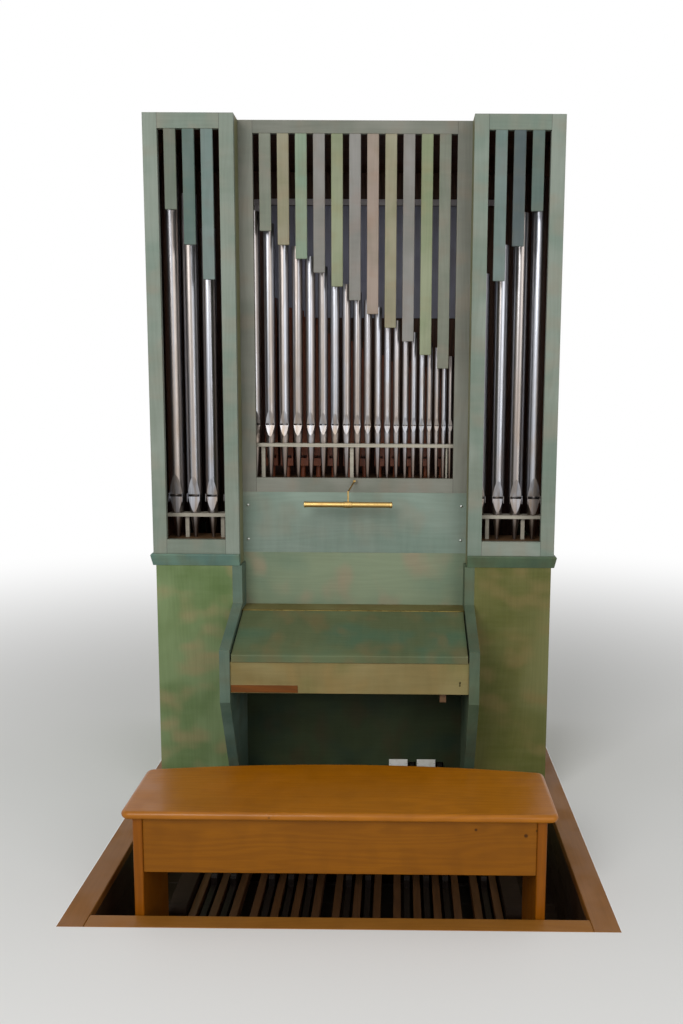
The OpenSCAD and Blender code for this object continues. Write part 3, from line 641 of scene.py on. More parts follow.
@dataclass(frozen=True)
class StainedWood(Finish):
    """Wood under a thin coloured stain that is uneven and worn at its edges."""

    stain: Stain
    right: Stain | None = None
    upper: Stain | None = None
    inside: str | None = None
    axis: Axis = Axis.Z
    seed: float = 0.0
    scale: float = 1.0
    patch_share: float = 0.5
    blot_share: float = 0.4
    wiped_share: float = 0.2
    ring_share: float = 0.07
    fibre_share: float = 0.1
    tone_share: float = 0.1
    wear_share: float = 0.4
    seam_share: float = 0.7
    inside_share: float = 0.4
    specular: float = 0.25
    rough: float = 0.48
    cloud_rough: float = 0.14
    fibre_rough: float = 0.08
    depth: float = 0.00015
    fibre_height: float = 0.5
    side_blur: float = 0.01
    upper_from: float = 1.22
    upper_to: float = 1.24
    wood: str = "a08c64"
    rails: Rails | None = None
    rail_offset: Point = (0.4, 0.2, 0.7)

    def tones(self, n: Nodes, at: Socket) -> list[object]:
        """Gives the stain's four colours, which may change to the right and above.

        Args:
            n: The tree's helper.
            at: The object coordinate.

        Returns:
            Base, cloud, patch and blot.
        """
        tones: list[object] = list(self.stain.colours())
        changes = (
            (self.right, Axis.X, -self.side_blur, self.side_blur),
            (self.upper, Axis.Z, self.upper_from, self.upper_to),
        )
        for other, way, low, high in changes:
            if other is not None:
                share = n.remap(n.parts(at)[way.value], low, high)
                tones = [n.mix(share, first, second) for first, second in zip(tones, other.colours())]
        return tones

    def bare_inside(self, n: Nodes, at: Socket, rings: Socket, colour: Socket) -> Socket:
        """Leaves the faces that look into the case as bare wood.

        A face looks in where its normal points against the way from the case's middle.

        Args:
            n: The tree's helper.
            at: The object coordinate.
            rings: The grain's rings.
            colour: The colour of the other faces.

        Returns:
            The colour of all faces.
        """
        out = n.vector("SUBTRACT", at, CASE_MIDDLE)[0]
        facing = n.vector("DOT_PRODUCT", out, n.add("NewGeometry").outputs["Normal"])["Value"]
        bare = n.lay(srgb(self.inside), BARE_DARK, rings, self.inside_share)
        return n.mix(n.math("LESS_THAN", facing, 0.0), colour, bare)

    def paint(self, canvas: Canvas) -> None:
        """Fills in the surface.

        Args:
            canvas: What it paints on.
        """
        n, at = canvas.n, canvas.at
        lie, seam = at, None
        if self.rails is not None:
            rail, seam = self.rails.mask(n, at)
            lie = n.mix(rail, at, n.vector("ADD", n.turned(at, Axis.X), self.rail_offset)[0])
        masks = WoodMasks.read(canvas, lie, self.axis, self.seed, self.scale)
        grain, stain = masks.grain, masks.stain
        base, cloud, patch, blot = self.tones(n, at)
        colour = n.mix(stain["Clouds"], base, cloud)
        colour = n.lay(colour, patch, stain["Patches"], self.patch_share)
        colour = n.lay(colour, blot, stain["Blots"], self.blot_share)
        colour = n.lay(colour, cloud, stain["Wiped"], self.wiped_share)
        shade = n.times(grain["Rings"], self.ring_share)
        shade = n.plus(shade, n.times(grain["Fibres"], self.fibre_share))
        shade = n.plus(shade, n.times(masks.tone, self.tone_share))
        colour = n.mix(shade, colour, GRAIN_SHADE, "MULTIPLY")
        colour = n.lay(colour, srgb(self.wood), masks.edge["Wear"], self.wear_share)
        if seam is not None:
            colour = n.lay(colour, SEAM_DARK, seam, self.seam_share)
        if self.inside is not None:
            colour = self.bare_inside(n, at, grain["Rings"], colour)
        canvas.put("Base Color", colour)
        canvas.put("Specular IOR Level", self.specular)
        gloss = n.plus(self.rough, n.times(stain["Clouds"], self.cloud_rough))
        canvas.put("Roughness", n.plus(gloss, n.times(grain["Fibres"], self.fibre_rough)))
        height = n.minus(n.times(grain["Fibres"], self.fibre_height), grain["Pores"])
        canvas.relief(height, self.depth, masks.edge["Round"])


@dataclass(frozen=True)
class Knot:
    """A small dark knot in a board."""

    place: Point
    radius: float


@dataclass(frozen=True)
class VarnishedWood(Finish):
    """Clear-varnished wood with rings, fibres, knots and a worn gloss."""

    light: str
    dark: str
    axis: Axis = Axis.X
    seed: float = 0.0
    rough: float = 0.3
    coat: float = 0.3
    ring_share: float = 0.35
    tone_share: float = 0.35
    specular: float = 0.3
    knots: tuple[Knot, ...] = ()
    fibre_share: float = 0.3
    cloud_share: float = 0.3
    blot_share: float = 0.12
    wear_share: float = 0.15
    knot_share: float = 0.85
    knot_core: float = 0.4
    blot_dark: float = 0.5
    knot_dark: float = 0.2
    wear_pale: float = 1.4
    worn_rough: float = 0.14
    coat_rough: float = 0.12
    scale: float = 1.3
    depth: float = 0.0001

    def paint(self, canvas: Canvas) -> None:
        """Fills in the surface.

        Args:
            canvas: What it paints on.
        """
        n, at = canvas.n, canvas.at
        masks = WoodMasks.read(canvas, at, self.axis, self.seed, self.scale)
        grain, stain = masks.grain, masks.stain
        light, dark = srgb(self.light), srgb(self.dark)
        colour = n.lay(light, dark, grain["Rings"], self.ring_share)
        colour = n.lay(colour, dark, grain["Fibres"], self.fibre_share)
        colour = n.lay(colour, dark, stain["Clouds"], self.cloud_share)
        colour = n.lay(colour, shaded(dark, self.blot_dark), stain["Blots"], self.blot_share)
        colour = n.lay(colour, dark, masks.tone, self.tone_share)
        for knot in self.knots:
            away = n.vector("DISTANCE", at, knot.place)["Value"]
            core = n.remap(away, knot.radius, self.knot_core * knot.radius, (0.0, self.knot_share))
            colour = n.mix(core, colour, shaded(dark, self.knot_dark))
        colour = n.lay(colour, shaded(light, self.wear_pale), masks.edge["Wear"], self.wear_share)
        canvas.put("Base Color", colour)
        canvas.put("Specular IOR Level", self.specular)
        worn = n.times(stain["Patches"], self.worn_rough)
        canvas.put("Roughness", n.plus(self.rough, worn))
        canvas.put("Coat Weight", self.coat)
        canvas.put("Coat Roughness", n.plus(self.coat_rough, worn))
        canvas.relief(grain["Fibres"], self.depth, masks.edge["Round"])


@dataclass(frozen=True)
class PipeMetal(Finish):
    """Polished pipe metal with faint flow marks and dull specks, under painted reflections: warm bands, a
    warm lower part and feet that darken towards their tips.

    Heights are those of the wings' pipes. The middle bay's pipes stand higher by
    its rise, so their height is lowered by it first.
    """

    colour: str = "a4a6ac"
    warm: str = "8a7660"
    rough: float = 0.3
    streaks: Marks = Marks((150.0, 150.0, 0.6), low=0.4, high=0.62, detail=1.0, rough=0.5)
    # Painted warm reflection in long vertical bands
    bands: Marks = Marks(
        (62.0, 62.0, 0.5), low=0.42, high=0.58, detail=1.0, rough=0.5, offset=(3.0, 1.0, 2.0)
    )
    clouds: Marks = Marks((16.0, 16.0, 5.0), low=0.4, high=0.68, detail=3.0, rough=0.6, warp=0.3)
    specks: Marks = Marks((240.0, 240.0, 240.0), low=0.66, high=0.78, detail=2.0)
    dents: Point = (9.0, 9.0, 3.0)
    middle_half: float = 0.42
    middle_rise: float = 0.235
    # Heights where the painted warm reflection of the floor begins and is full, and its shares there
    warm_reflection_from: float = 2.1
    warm_reflection_to: float = 1.4
    warm_reflection_shares: tuple[float, float] = (0.1, 0.5)
    # Heights where the painted dark reflection at the feet begins and is full, and its share there
    foot_dark_reflection_from: float = 1.47
    foot_dark_reflection_to: float = 1.33
    foot_dark_reflection_share: float = 0.75
    # How much of the painted warm reflection bands shows
    warm_band_reflection_share: float = 0.55
    streak_share: float = 0.4
    streak_dark: float = 0.35
    speck_share: float = 0.2
    cloud_rough: float = 0.08
    speck_rough: float = 0.15
    depth: float = 0.00006

    def paint(self, canvas: Canvas) -> None:
        """Fills in the surface.

        Args:
            canvas: What it paints on.
        """
        n, at = canvas.n, canvas.at
        light, warm = srgb(self.colour), srgb(self.warm)
        cloud, speck = self.clouds.draw(n, at), self.specks.draw(n, at)
        x, _, z = n.parts(at)
        middle = n.math("LESS_THAN", n.size(x), self.middle_half)
        height = n.minus(z, n.times(middle, self.middle_rise))
        # Painted warm reflection of the floor: a cloudy warm tint that grows towards the pipes' lower part
        low = n.remap(height, self.warm_reflection_from, self.warm_reflection_to, self.warm_reflection_shares)
        # Painted dark reflection: the metal darkens to brown towards the foot tips
        foot = n.remap(height, self.foot_dark_reflection_from, self.foot_dark_reflection_to, (0.0, self.foot_dark_reflection_share))
        # Painted warm reflection in long vertical bands
        colour = n.lay(light, warm, self.bands.draw(n, at), self.warm_band_reflection_share)
        colour = n.lay(colour, shaded(light, self.streak_dark), self.streaks.draw(n, at), self.streak_share)
        colour = n.mix(n.times(cloud, low), colour, warm)
        colour = n.lay(colour, SPECK_DARK, speck, self.speck_share)
        canvas.put("Base Color", n.mix(foot, colour, FOOT_DARK_REFLECTION))
        canvas.put("Metallic", 1.0)
        rough = n.plus(self.rough, n.times(cloud, self.cloud_rough))
        canvas.put("Roughness", n.plus(rough, n.times(speck, self.speck_rough)))
        canvas.relief(n.noise(n.stretch(at, self.dents), 0.0), self.depth)


@dataclass(frozen=True)
class WornMetal(Finish):
    """Brass, nickel or iron with polish on top and tarnish in its dull places."""

    colour: str
    tarnish: str
    metallic: float = 1.0
    rough: float = 0.2
    clouds: Marks = Marks((60.0, 60.0, 60.0), low=0.46, high=0.74, detail=4.0, rough=0.65)
    brush: Point = (8.0, 600.0, 600.0)
    tarnish_share: float = 0.35
    cloud_rough: float = 0.25
    brush_rough: float = 0.06
    depth: float = 0.00004

    def paint(self, canvas: Canvas) -> None:
        """Fills in the surface.

        Args:
            canvas: What it paints on.
        """
        n, at = canvas.n, canvas.at
        cloud = self.clouds.draw(n, at)
        brush = n.noise(n.stretch(at, self.brush), 2.0)
        colour = n.lay(srgb(self.colour), srgb(self.tarnish), cloud, self.tarnish_share)
        canvas.put("Base Color", colour)
        canvas.put("Metallic", self.metallic)
        rough = n.plus(self.rough, n.times(cloud, self.cloud_rough))
        canvas.put("Roughness", n.plus(rough, n.times(brush, self.brush_rough)))
        canvas.relief(brush, self.depth)


@dataclass(frozen=True)
class Glaze(Finish):
    """A smooth pale covering such as enamel, bone or frosted glass, faintly soiled."""

    colour: str
    soil: str
    rough: float = 0.25
    clear: float = 0.0
    clouds: Marks = Marks((45.0, 45.0, 45.0), low=0.42, high=0.75, detail=4.0, rough=0.6)
    scratches: Marks = Marks((300.0, 40.0, 900.0), low=0.6, high=0.72, detail=2.0)
    cloud_share: float = 0.45
    scratch_share: float = 0.25
    cloud_rough: float = 0.2
    depth: float = 0.00003

    def paint(self, canvas: Canvas) -> None:
        """Fills in the surface.

        Args:
            canvas: What it paints on.
        """
        n, at = canvas.n, canvas.at
        soil = srgb(self.soil)
        cloud, scratch = self.clouds.draw(n, at), self.scratches.draw(n, at)
        colour = n.lay(srgb(self.colour), soil, cloud, self.cloud_share)
        canvas.put("Base Color", n.lay(colour, soil, scratch, self.scratch_share))
        canvas.put("Roughness", n.plus(self.rough, n.times(cloud, self.cloud_rough)))
        if self.clear:
            canvas.put("Transmission Weight", self.clear)
        canvas.relief(scratch, self.depth)


@dataclass(frozen=True)
class PlainFloor(Finish):
    """The stage's plain pale floor, which fades to the white background far away."""

    colour: str = "e6e6e4"
    fade_from: float = 1.2
    fade_to: float = 6.0
    rough: float = 0.85

    def paint(self, canvas: Canvas) -> None:
        """Fills in the surface.

        Args:
            canvas: What it paints on.
        """
        n = canvas.n
        away = n.vector("LENGTH", canvas.at)["Value"]
        white = n.times(n.remap(away, self.fade_from, self.fade_to), n.seen())
        canvas.put("Base Color", n.mix(white, srgb(self.colour), BLACK))
        canvas.put("Roughness", self.rough)
        canvas.put("Specular IOR Level", 0.0)
        canvas.put("Emission Color", WHITE)
        canvas.put("Emission Strength", white)


FRAME_STAIN = Stain("727c6f", "868f84", "62786b", "8c8272")
MIDDLE_STAIN = Stain("6d6e64", "7e7f75", "626a5e", "827565")
RETURN_STAIN = Stain("6f6e4c", "828262", "5c6040", "746444")
GREEN_STAIN = Stain("576b3a", "74865c", "48602e", "94825e")
OLIVE_STAIN = Stain("5a5a28", "707046", "4c521e", "78683e")
BACK_STAIN = Stain("5e6448", "6c7256", "52603e", "746848")
CHEEK_LEFT = Stain("4c5f50", "64776a", "38504a", "5c5a42")
CHEEK_RIGHT = Stain("475540", "5a6852", "3a4c40", "564e36")
BELT_LEFT = Stain("4c665c", "678272", "3c5a5a", "5c5c40")
BELT_RIGHT = Stain("42543f", "566b50", "384a3c", "4f4a2e")
DESK_STAIN = Stain("728075", "86968a", "64796c", "868070")
LOWER_STAIN = Stain("6a755a", "7e8a70", "567060", "94806a")
LEDGE_STAIN = Stain("645c30", "767046", "545024", "6e5830")
LID_STAIN = Stain("525a3c", "606a4a", "3c6654", "74603e")
SLIP_STAIN = Stain("786a40", "8a7e54", "6c7040", "8c7444")
# Dark green, darkened further as painted shade of the knee recess
KNEE_SHADE_STAIN = Stain("272f18", "343e26", "1a3028", "3c2e1c")

WING_RAILS = Rails(near=0.472, far=0.6895, low=1.303, high=2.757)
MIDDLE_RAILS = Rails(near=-0.369, far=0.369, low=1.526, high=2.765)

PEDALS = 27
OCTAVE = 12
SHARP_STEPS = (1, 3, 6, 8, 10)


def stained_nodes() -> dict[str, Finish]:
    """Lists the finishes of the stained CAD nodes.

    Returns:
        Finishes by node name.
    """
    side = StainedWood(
        "side_wall", GREEN_STAIN, OLIVE_STAIN, FRAME_STAIN, "5c3a26", seed=5, patch_share=0.35
    )
    lower = StainedWood("lower_desk", LOWER_STAIN, axis=Axis.X, seed=10, scale=0.8, blot_share=0.6)
    lid = StainedWood("lid", LID_STAIN, axis=Axis.X, seed=12, blot_share=0.45, patch_share=0.45)
    return {
        "wing_frames": StainedWood("wing_frame", FRAME_STAIN, seed=1, rails=WING_RAILS),
        "centre_frame": StainedWood("centre_frame", MIDDLE_STAIN, seed=2, rails=MIDDLE_RAILS),
        "slats": StainedWood("slat_core", MIDDLE_STAIN, seed=3),
        "lower_front_panels": StainedWood(
            "lower_panel", GREEN_STAIN, OLIVE_STAIN, seed=4, blot_share=0.6
        ),
        "side_walls": side,
        "wing_returns": StainedWood("wing_return", RETURN_STAIN, seed=6),
        "cheeks": StainedWood("cheek", CHEEK_LEFT, CHEEK_RIGHT, seed=7),
        "belt_rails": StainedWood("belt", BELT_LEFT, BELT_RIGHT, axis=Axis.X, seed=8),
        "music_desk_panel": StainedWood("music_desk", DESK_STAIN, axis=Axis.X, seed=9, scale=0.8),
        "desk_panel": lower,
        "desk_ledge": StainedWood("ledge", LEDGE_STAIN, axis=Axis.X, seed=11),
        "lid": lid,
        "key_slip": StainedWood("slip", SLIP_STAIN, axis=Axis.X, seed=13),
        # The knee panel's stain carries painted shade of the knee recess
        "knee_panel": StainedWood("knee", KNEE_SHADE_STAIN, axis=Axis.X, seed=14),
        "case_back": StainedWood("back", BACK_STAIN, inside="54382a", seed=15, patch_share=0.35),
        "case_roof": StainedWood(
            "roof", BACK_STAIN, inside="5c3a26", axis=Axis.X, seed=16, patch_share=0.35
        ),
    }


def plain_nodes() -> dict[str, Finish]:
    """Lists the finishes of the varnished and the metal CAD nodes.

    Returns:
        Finishes by node name.
    """
    pit = VarnishedWood("pit_board", "3a281c", "1e140d", Axis.X, seed=1.0, rough=0.45, coat=0.05)
    inner = VarnishedWood("inner_wood", "6e5236", "4a3220", Axis.X, seed=4.0, rough=0.5, coat=0.05)
    bench = VarnishedWood("bench_core", "96571a", "6c3808", Axis.X, seed=8.0)
    # Very dark brown, darkened further as painted shade of the pedal space under the bench
    shaded_pedal_bars = VarnishedWood(
        "pedal_frame_wood", "2a1c10", "1a1008", Axis.X, seed=9.5, rough=0.6, coat=0.0, specular=0.12
    )
    metal = PipeMetal("pipe_metal")
    iron = WornMetal("lever_iron", "3a3632", "241f1b", metallic=0.7, rough=0.42)
    return {
        "pit_floor": pit,
        "pit_lining": pit,
        "kerb_rails": VarnishedWood(
            "kerb_end", "86592e", "64401f", Axis.X, seed=3.0, rough=0.42, coat=0.1
        ),
        "key_bed": inner,
        "manual_keys": VarnishedWood(
            "key_wood", "c2a878", "9c7f50", Axis.Y, seed=6.0, rough=0.35, coat=0.15
        ),
        "centre_pipes": metal,
        "wing_pipes": metal,
        "rack_boards": VarnishedWood(
            "rack_wood", "a9a495", "8b8475", Axis.X, seed=5.0, rough=0.5, coat=0.05
        ),
        "wind_chests": inner,
        "wood_pipes": VarnishedWood(
            "trunk_wood", "8a4a2c", "5c2c18", Axis.Z, seed=7.0, rough=0.4, coat=0.15
        ),
        "bench_top": bench,
        "bench_frame": bench,
        "pedal_frame": shaded_pedal_bars,
        "lamp": WornMetal("lamp_brass", "c4a466", "8a6c40", rough=0.26),
        "coupler_lever_left": iron,
        "coupler_lever_right": iron,
    }


def cad_finishes() -> dict[str, Finish]:
    """Lists the finish of every CAD node.

    Returns:
        Finishes by node name.
    """
    natural = VarnishedWood("pedal_wood", "5c3a1c", "3a220e", Axis.Y, seed=9.0, rough=0.45, coat=0.05)
    sharp = VarnishedWood(
        "sharp_wood", "1f150f", "100a07", Axis.Y, seed=10.0, rough=0.45, coat=0.05, specular=0.15
    )
    pedals = {
        f"pedal_{index + 1}": sharp if index % OCTAVE in SHARP_STEPS else natural
        for index in range(PEDALS)
    }
    return stained_nodes() | plain_nodes() | pedals


class Painter:
    """Builds each finish once and hands it to the CAD nodes."""

    def __init__(self, nodes: dict[str, bpy.types.Object]) -> None:
        """Keeps the nodes.

        Args:
            nodes: CAD objects by node name.
        """
        self.nodes = nodes
        self.groups = SharedGroups()
        self.made: dict[str, bpy.types.Material] = {}

    def material(self, finish: Finish) -> bpy.types.Material:
        """Gives a finish's material.

        Args:
            finish: The finish.

        Returns:
            Its material, built at its first use.
        """
        if finish.name not in self.made:
            self.made[finish.name] = finish.build(self.groups)
        return self.made[finish.name]

    def paint_all(self) -> None:
        """Gives every CAD node its finish."""
        for name, finish in cad_finishes().items():
            mesh = self.nodes[name].data
            mesh.materials.clear()
            mesh.materials.append(self.material(finish))


class Shape:
    """A mesh built up from skinned rows of sections, with one tone per part."""

    # A board's section: shares of its width and height, and where the corner is cut
    EASED = np.array(
        [
            (0, 0, 1, 0),
            (1, 0, -1, 0),
            (1, 0, 0, 1),
            (1, 1, 0, -1),
            (1, 1, -1, 0),
            (0, 1, 1, 0),
            (0, 1, 0, -1),
            (0, 0, 0, 1),
        ],
        dtype=float,
    )
    # The share of a ring's smaller side that is cut off its outer corners
    RING_CUT = 0.35

    def __init__(self) -> None:
        """Starts empty."""
        self.points: list[np.ndarray] = []
        self.tones: list[np.ndarray] = []
        self.faces: list[list[int]] = []
        self.smooth: list[bool] = []
        self.count = 0

    @staticmethod
    def order(axis: Axis) -> tuple[int, int, int]:
        """Gives an axis and the two that follow it, which turn anticlockwise about it."""
        return axis.value, (axis.value + 1) % 3, (axis.value + 2) % 3

    def skin(
        self, sections: np.ndarray, tone: float = 0.0, smooth: bool = False, wrap: bool = False
    ) -> None:
        """Skins a row of closed sections, and caps both ends unless it wraps round.

        Face (i, j) joins the points j and j + 1 of the sections i and i + 1.

        Args:
            sections: Points by section, by place in the section, by axis.
            tone: The part's tone from 0 to 1.
            smooth: Whether the sides are shaded smooth.
            wrap: Whether the last section joins the first.
        """
        rows, count = sections.shape[:2]
        index = self.count + np.arange(rows * count).reshape(rows, count)
        self.points.append(sections.reshape(-1, 3))
        self.tones.append(np.full(rows * count, tone))
        self.count += rows * count
        after = np.roll(index, -1, axis=0) if wrap else index[1:]
        first = index if wrap else index[:-1]
        loop = [first, np.roll(first, -1, 1), np.roll(after, -1, 1), after]
        sides = np.stack(loop, axis=-1).reshape(-1, 4)
        self.faces += sides.tolist()
        self.smooth += [smooth] * len(sides)
        if not wrap:
            self.faces += [index[0][::-1].tolist(), index[-1].tolist()]
            self.smooth += [False, False]

    def board(self, low: Point, high: Point, axis: Axis, edge: float, tone: float = 0.0) -> None:
        """Adds a board whose twelve edges are eased.

        Its section is a rectangle with its corners cut off by the edge's size. The
        first and the last of the four sections are drawn in by the same size.

        Args:
            low: The lowest corner.
            high: The highest corner.
            axis: The direction of its length.
            edge: The size of the eased edge.
            tone: The board's tone.
        """
        along, across, up = self.order(axis)
        start, size = np.asarray(low), np.subtract(high, low)
        inset = edge * np.array([[1.0], [0.0], [0.0], [1.0]])
        sections = np.empty((4, 8, 3))
        sections[..., along] = start[along] + np.array([[0.0], [edge], [size[along] - edge], [size[along]]])
        for place, share, cut in ((across, 0, 2), (up, 1, 3)):
            width = size[place] - 2 * inset
            square = start[place] + inset + self.EASED[:, share] * width
            sections[..., place] = square + self.EASED[:, cut] * edge
        self.skin(sections, tone)

    def turned(
        self, profile: Profile, centre: Point, axis: Axis, steps: int = 32, wrap: bool = False
    ) -> None:
        """Adds a turned part: circles of the profile's radii along an axis.

        Args:
            profile: Places along the axis with radii.
            centre: Where the profile's zero is.
            axis: The axis.
            steps: Points in one circle.
            wrap: Whether the profile is a closed loop, as for a ring.
        """
        along, across, up = self.order(axis)
        angle = np.linspace(0.0, 2.0 * math.pi, steps, endpoint=False)
        rows = np.array(profile)
        sections = np.empty((len(rows), steps, 3))
        sections[..., along] = rows[:, :1]
        sections[..., across] = rows[:, 1:] * np.cos(angle)
        sections[..., up] = rows[:, 1:] * np.sin(angle)
        self.skin(sections + np.asarray(centre), smooth=True, wrap=wrap)

    def ring(
        self, inner: float, outer: float, low: float, high: float, centre: Point, axis: Axis
    ) -> None:
        """Adds a thin ring with a rounded outside.

        Its profile is a rectangle from the inner to the outer radius, with both
        outer corners cut off by about a third of its smaller side.

        Args:
            inner: Its inner radius.
            outer: Its outer radius.
            low: Where it starts along the axis.
            high: Where it ends.
            centre: Its centre.
            axis: Its axis.
        """
        cut = self.RING_CUT * min(outer - inner, high - low)
        rim = [(low, outer - cut), (low + cut, outer), (high - cut, outer), (high, outer - cut)]
        self.turned([(low, inner), *rim, (high, inner)], centre, axis, wrap=True)

    def slab(self, outline: np.ndarray, low: float, high: float, steps: int = 8) -> None:
        """Adds a slab with a half-round edge.

        At the angle a from straight down to straight up the outline is drawn in by
        r (1 - cos a) at the height middle + r sin a, with r half the thickness. Each
        outline point moves along the mean of its two edge normals.

        Args:
            outline: Its plan as points in turn, anticlockwise.
            low: Its underside.
            high: Its top.
            steps: Steps round the edge.
        """
        edges = np.roll(outline, -1, axis=0) - outline
        normals = np.stack([-edges[:, 1], edges[:, 0]], axis=1)
        normals /= np.linalg.norm(normals, axis=1, keepdims=True)
        inward = normals + np.roll(normals, 1, axis=0)
        inward /= np.sum(inward * normals, axis=1, keepdims=True)
        radius = (high - low) / 2
        angle = np.linspace(-math.pi / 2, math.pi / 2, steps + 1)[:, None]
        sections = np.empty((steps + 1, len(outline), 3))
        sections[..., :2] = outline + inward * (radius * (1 - np.cos(angle)))[..., None]
        sections[..., 2] = low + radius * (1 + np.sin(angle))
        self.skin(sections, smooth=True)


@dataclass(frozen=True)
class Piece:
    """One added piece: its shape, its finish and what it belongs to."""

    name: str
    shape: Shape
    finish: Finish
    slot: str
    body: str = "case"
    replaces: tuple[str, ...] = ()

    def build(self, painter: Painter) -> bpy.types.Object:
        """Makes the piece's object and ties it to its body.

        Args:
            painter: Where its material comes from.

        Returns:
            The object.
        """
        mesh = bpy.data.meshes.new(self.name)
        places = np.concatenate(self.shape.points) + (0.0, SIZES.shift_y, 0.0)
        mesh.from_pydata(places.tolist(), [], self.shape.faces)
        mesh.polygons.foreach_set("use_smooth", self.shape.smooth)
        tones = mesh.attributes.new(TONE, "FLOAT", "POINT")
        tones.data.foreach_set("value", np.concatenate(self.shape.tones))
        mesh.materials.append(painter.material(self.finish))
        mesh.update()
        piece = placed(self.name, mesh)
        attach(piece, self.body)
        if self.replaces:
            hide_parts(*self.replaces)
        LOG.info("piece %s: %d faces on %s", self.name, len(self.shape.faces), self.body)
        return piece


@dataclass(frozen=True)
class SubAssembly:
    """A group of pieces that belong together. Each kind makes its own."""

    def pieces(self) -> Iterator[Piece]:
        """Makes the pieces."""
        raise NotImplementedError

    @staticmethod
    def tones(count: int, seed: int) -> list[float]:
        """Gives the same row of tones from 0 to 1 each time for one seed."""
        return np.random.default_rng(seed).random(count).tolist()

    def rows(self, low: float, high: float, count: int, seed: int) -> Iterator[tuple[float, float, float]]:
        """Divides a length into equal boards.

        Args:
            low: Where the first board starts.
            high: Where the last one ends.
            count: How many there are.
            seed: The seed of their tones.

        Returns:
            Each board's start, end and tone.
        """
        places = np.linspace(low, high, count + 1)
        return zip(places[:-1], places[1:], self.tones(count, seed))


@dataclass(frozen=True)
class SlatTone:
    """One stain tone of the slats and the places where it is used.

    The centre's places count from its left side. The wings' places count from
    their outer side.
    """

    name: str
    stain: Stain
    centre: tuple[int, ...] = ()
    left: tuple[int, ...] = ()
    right: tuple[int, ...] = ()


SLAT_TONES = (
    SlatTone("sage", Stain("74776a", "84887a", "667060", "84786a"), centre=(0, 10)),
    SlatTone("sand", Stain("857f68", "94907a", "787858", "8c7c62"), centre=(1, 7)),
    SlatTone("mint", Stain("74826f", "84947f", "66806e", "868068"), centre=(2,)),
    SlatTone("mauve", Stain("7b7973", "8a8884", "70706a", "867870"), centre=(3, 5, 8)),
    SlatTone("lime", Stain("7f846a", "8f957a", "70805a", "8a8260"), centre=(4, 9)),
    SlatTone("rose", Stain("8c7d72", "9a8b80", "7c7664", "947a6a"), centre=(6,)),
    SlatTone("moss", Stain("60675b", "6c7468", "546252", "6e6858"), left=(0,)),
    SlatTone("aqua", Stain("66746f", "74827e", "587069", "70706a"), left=(2,), right=(2,)),
    SlatTone("teal", Stain("54645e", "62726c", "466058", "606456"), left=(1,), right=(0,)),
    SlatTone("slate", Stain("4c5657", "5a6465", "405052", "56584f"), right=(1,)),
)


@dataclass(frozen=True)
class SlatRows(SubAssembly):
    """The hanging slats in front of the pipes, one piece for each stain tone."""

    width: float = 0.042
    depth: float = 0.012
    edge: float = 0.0015
    centre_half: float = 0.369
    centre_gap: float = 0.023
    centre_y: float = 0.090
    centre_top: float = 2.765
    centre_first: float = 0.340
    centre_step: float = 0.049
    wing_outer: float = 0.6895
    wing_gap: float = 0.022875
    wing_top: float = 2.757
    wing_first: float = 0.274
    wing_step: float = 0.1205
    first_seed: float = 20.0

    def slat(self, shape: Shape, x: float, y: float, top: float, length: float, tone: float) -> None:
        """Adds one slat.

        Args:
            shape: The shape that it goes into.
            x: Its left side.
            y: Its face.
            top: Its upper end.
            length: Its length.
            tone: Its tone.
        """
        shape.board((x, y, top - length), (x + self.width, y + self.depth, top), Axis.Z, self.edge, tone)

    def pieces(self) -> Iterator[Piece]:
        """Makes the slats of each tone.

        The centre's slat k is 340 + 49 k mm long, counted from the left. A wing's
        slat k is 274 + 120.5 k mm long, counted from its outer side.

        Yields:
            The pieces.
        """
        count = sum(len(tone.centre + tone.left + tone.right) for tone in SLAT_TONES)
        tones = iter(self.tones(count, seed=7))
        for number, tone in enumerate(SLAT_TONES):
            shape = Shape()
            for k in tone.centre:
                x = -self.centre_half + self.centre_gap + k * (self.width + self.centre_gap)
                length = self.centre_first + k * self.centre_step
                self.slat(shape, x, self.centre_y, self.centre_top, length, next(tones))
            for side, places in ((-1, tone.left), (1, tone.right)):
                for k in places:
                    inner = self.wing_outer - (k + 1) * (self.width + self.wing_gap)
                    x = inner if side > 0 else -inner - self.width
                    length = self.wing_first + k * self.wing_step
                    self.slat(shape, x, 0.0, self.wing_top, length, next(tones))
            seed = self.first_seed + number
            finish = StainedWood(f"slat_{tone.name}", tone.stain, seed=seed, scale=1.4)
            yield Piece(f"slats_{tone.name}", shape, finish, "slat_paint", replaces=("slats",))


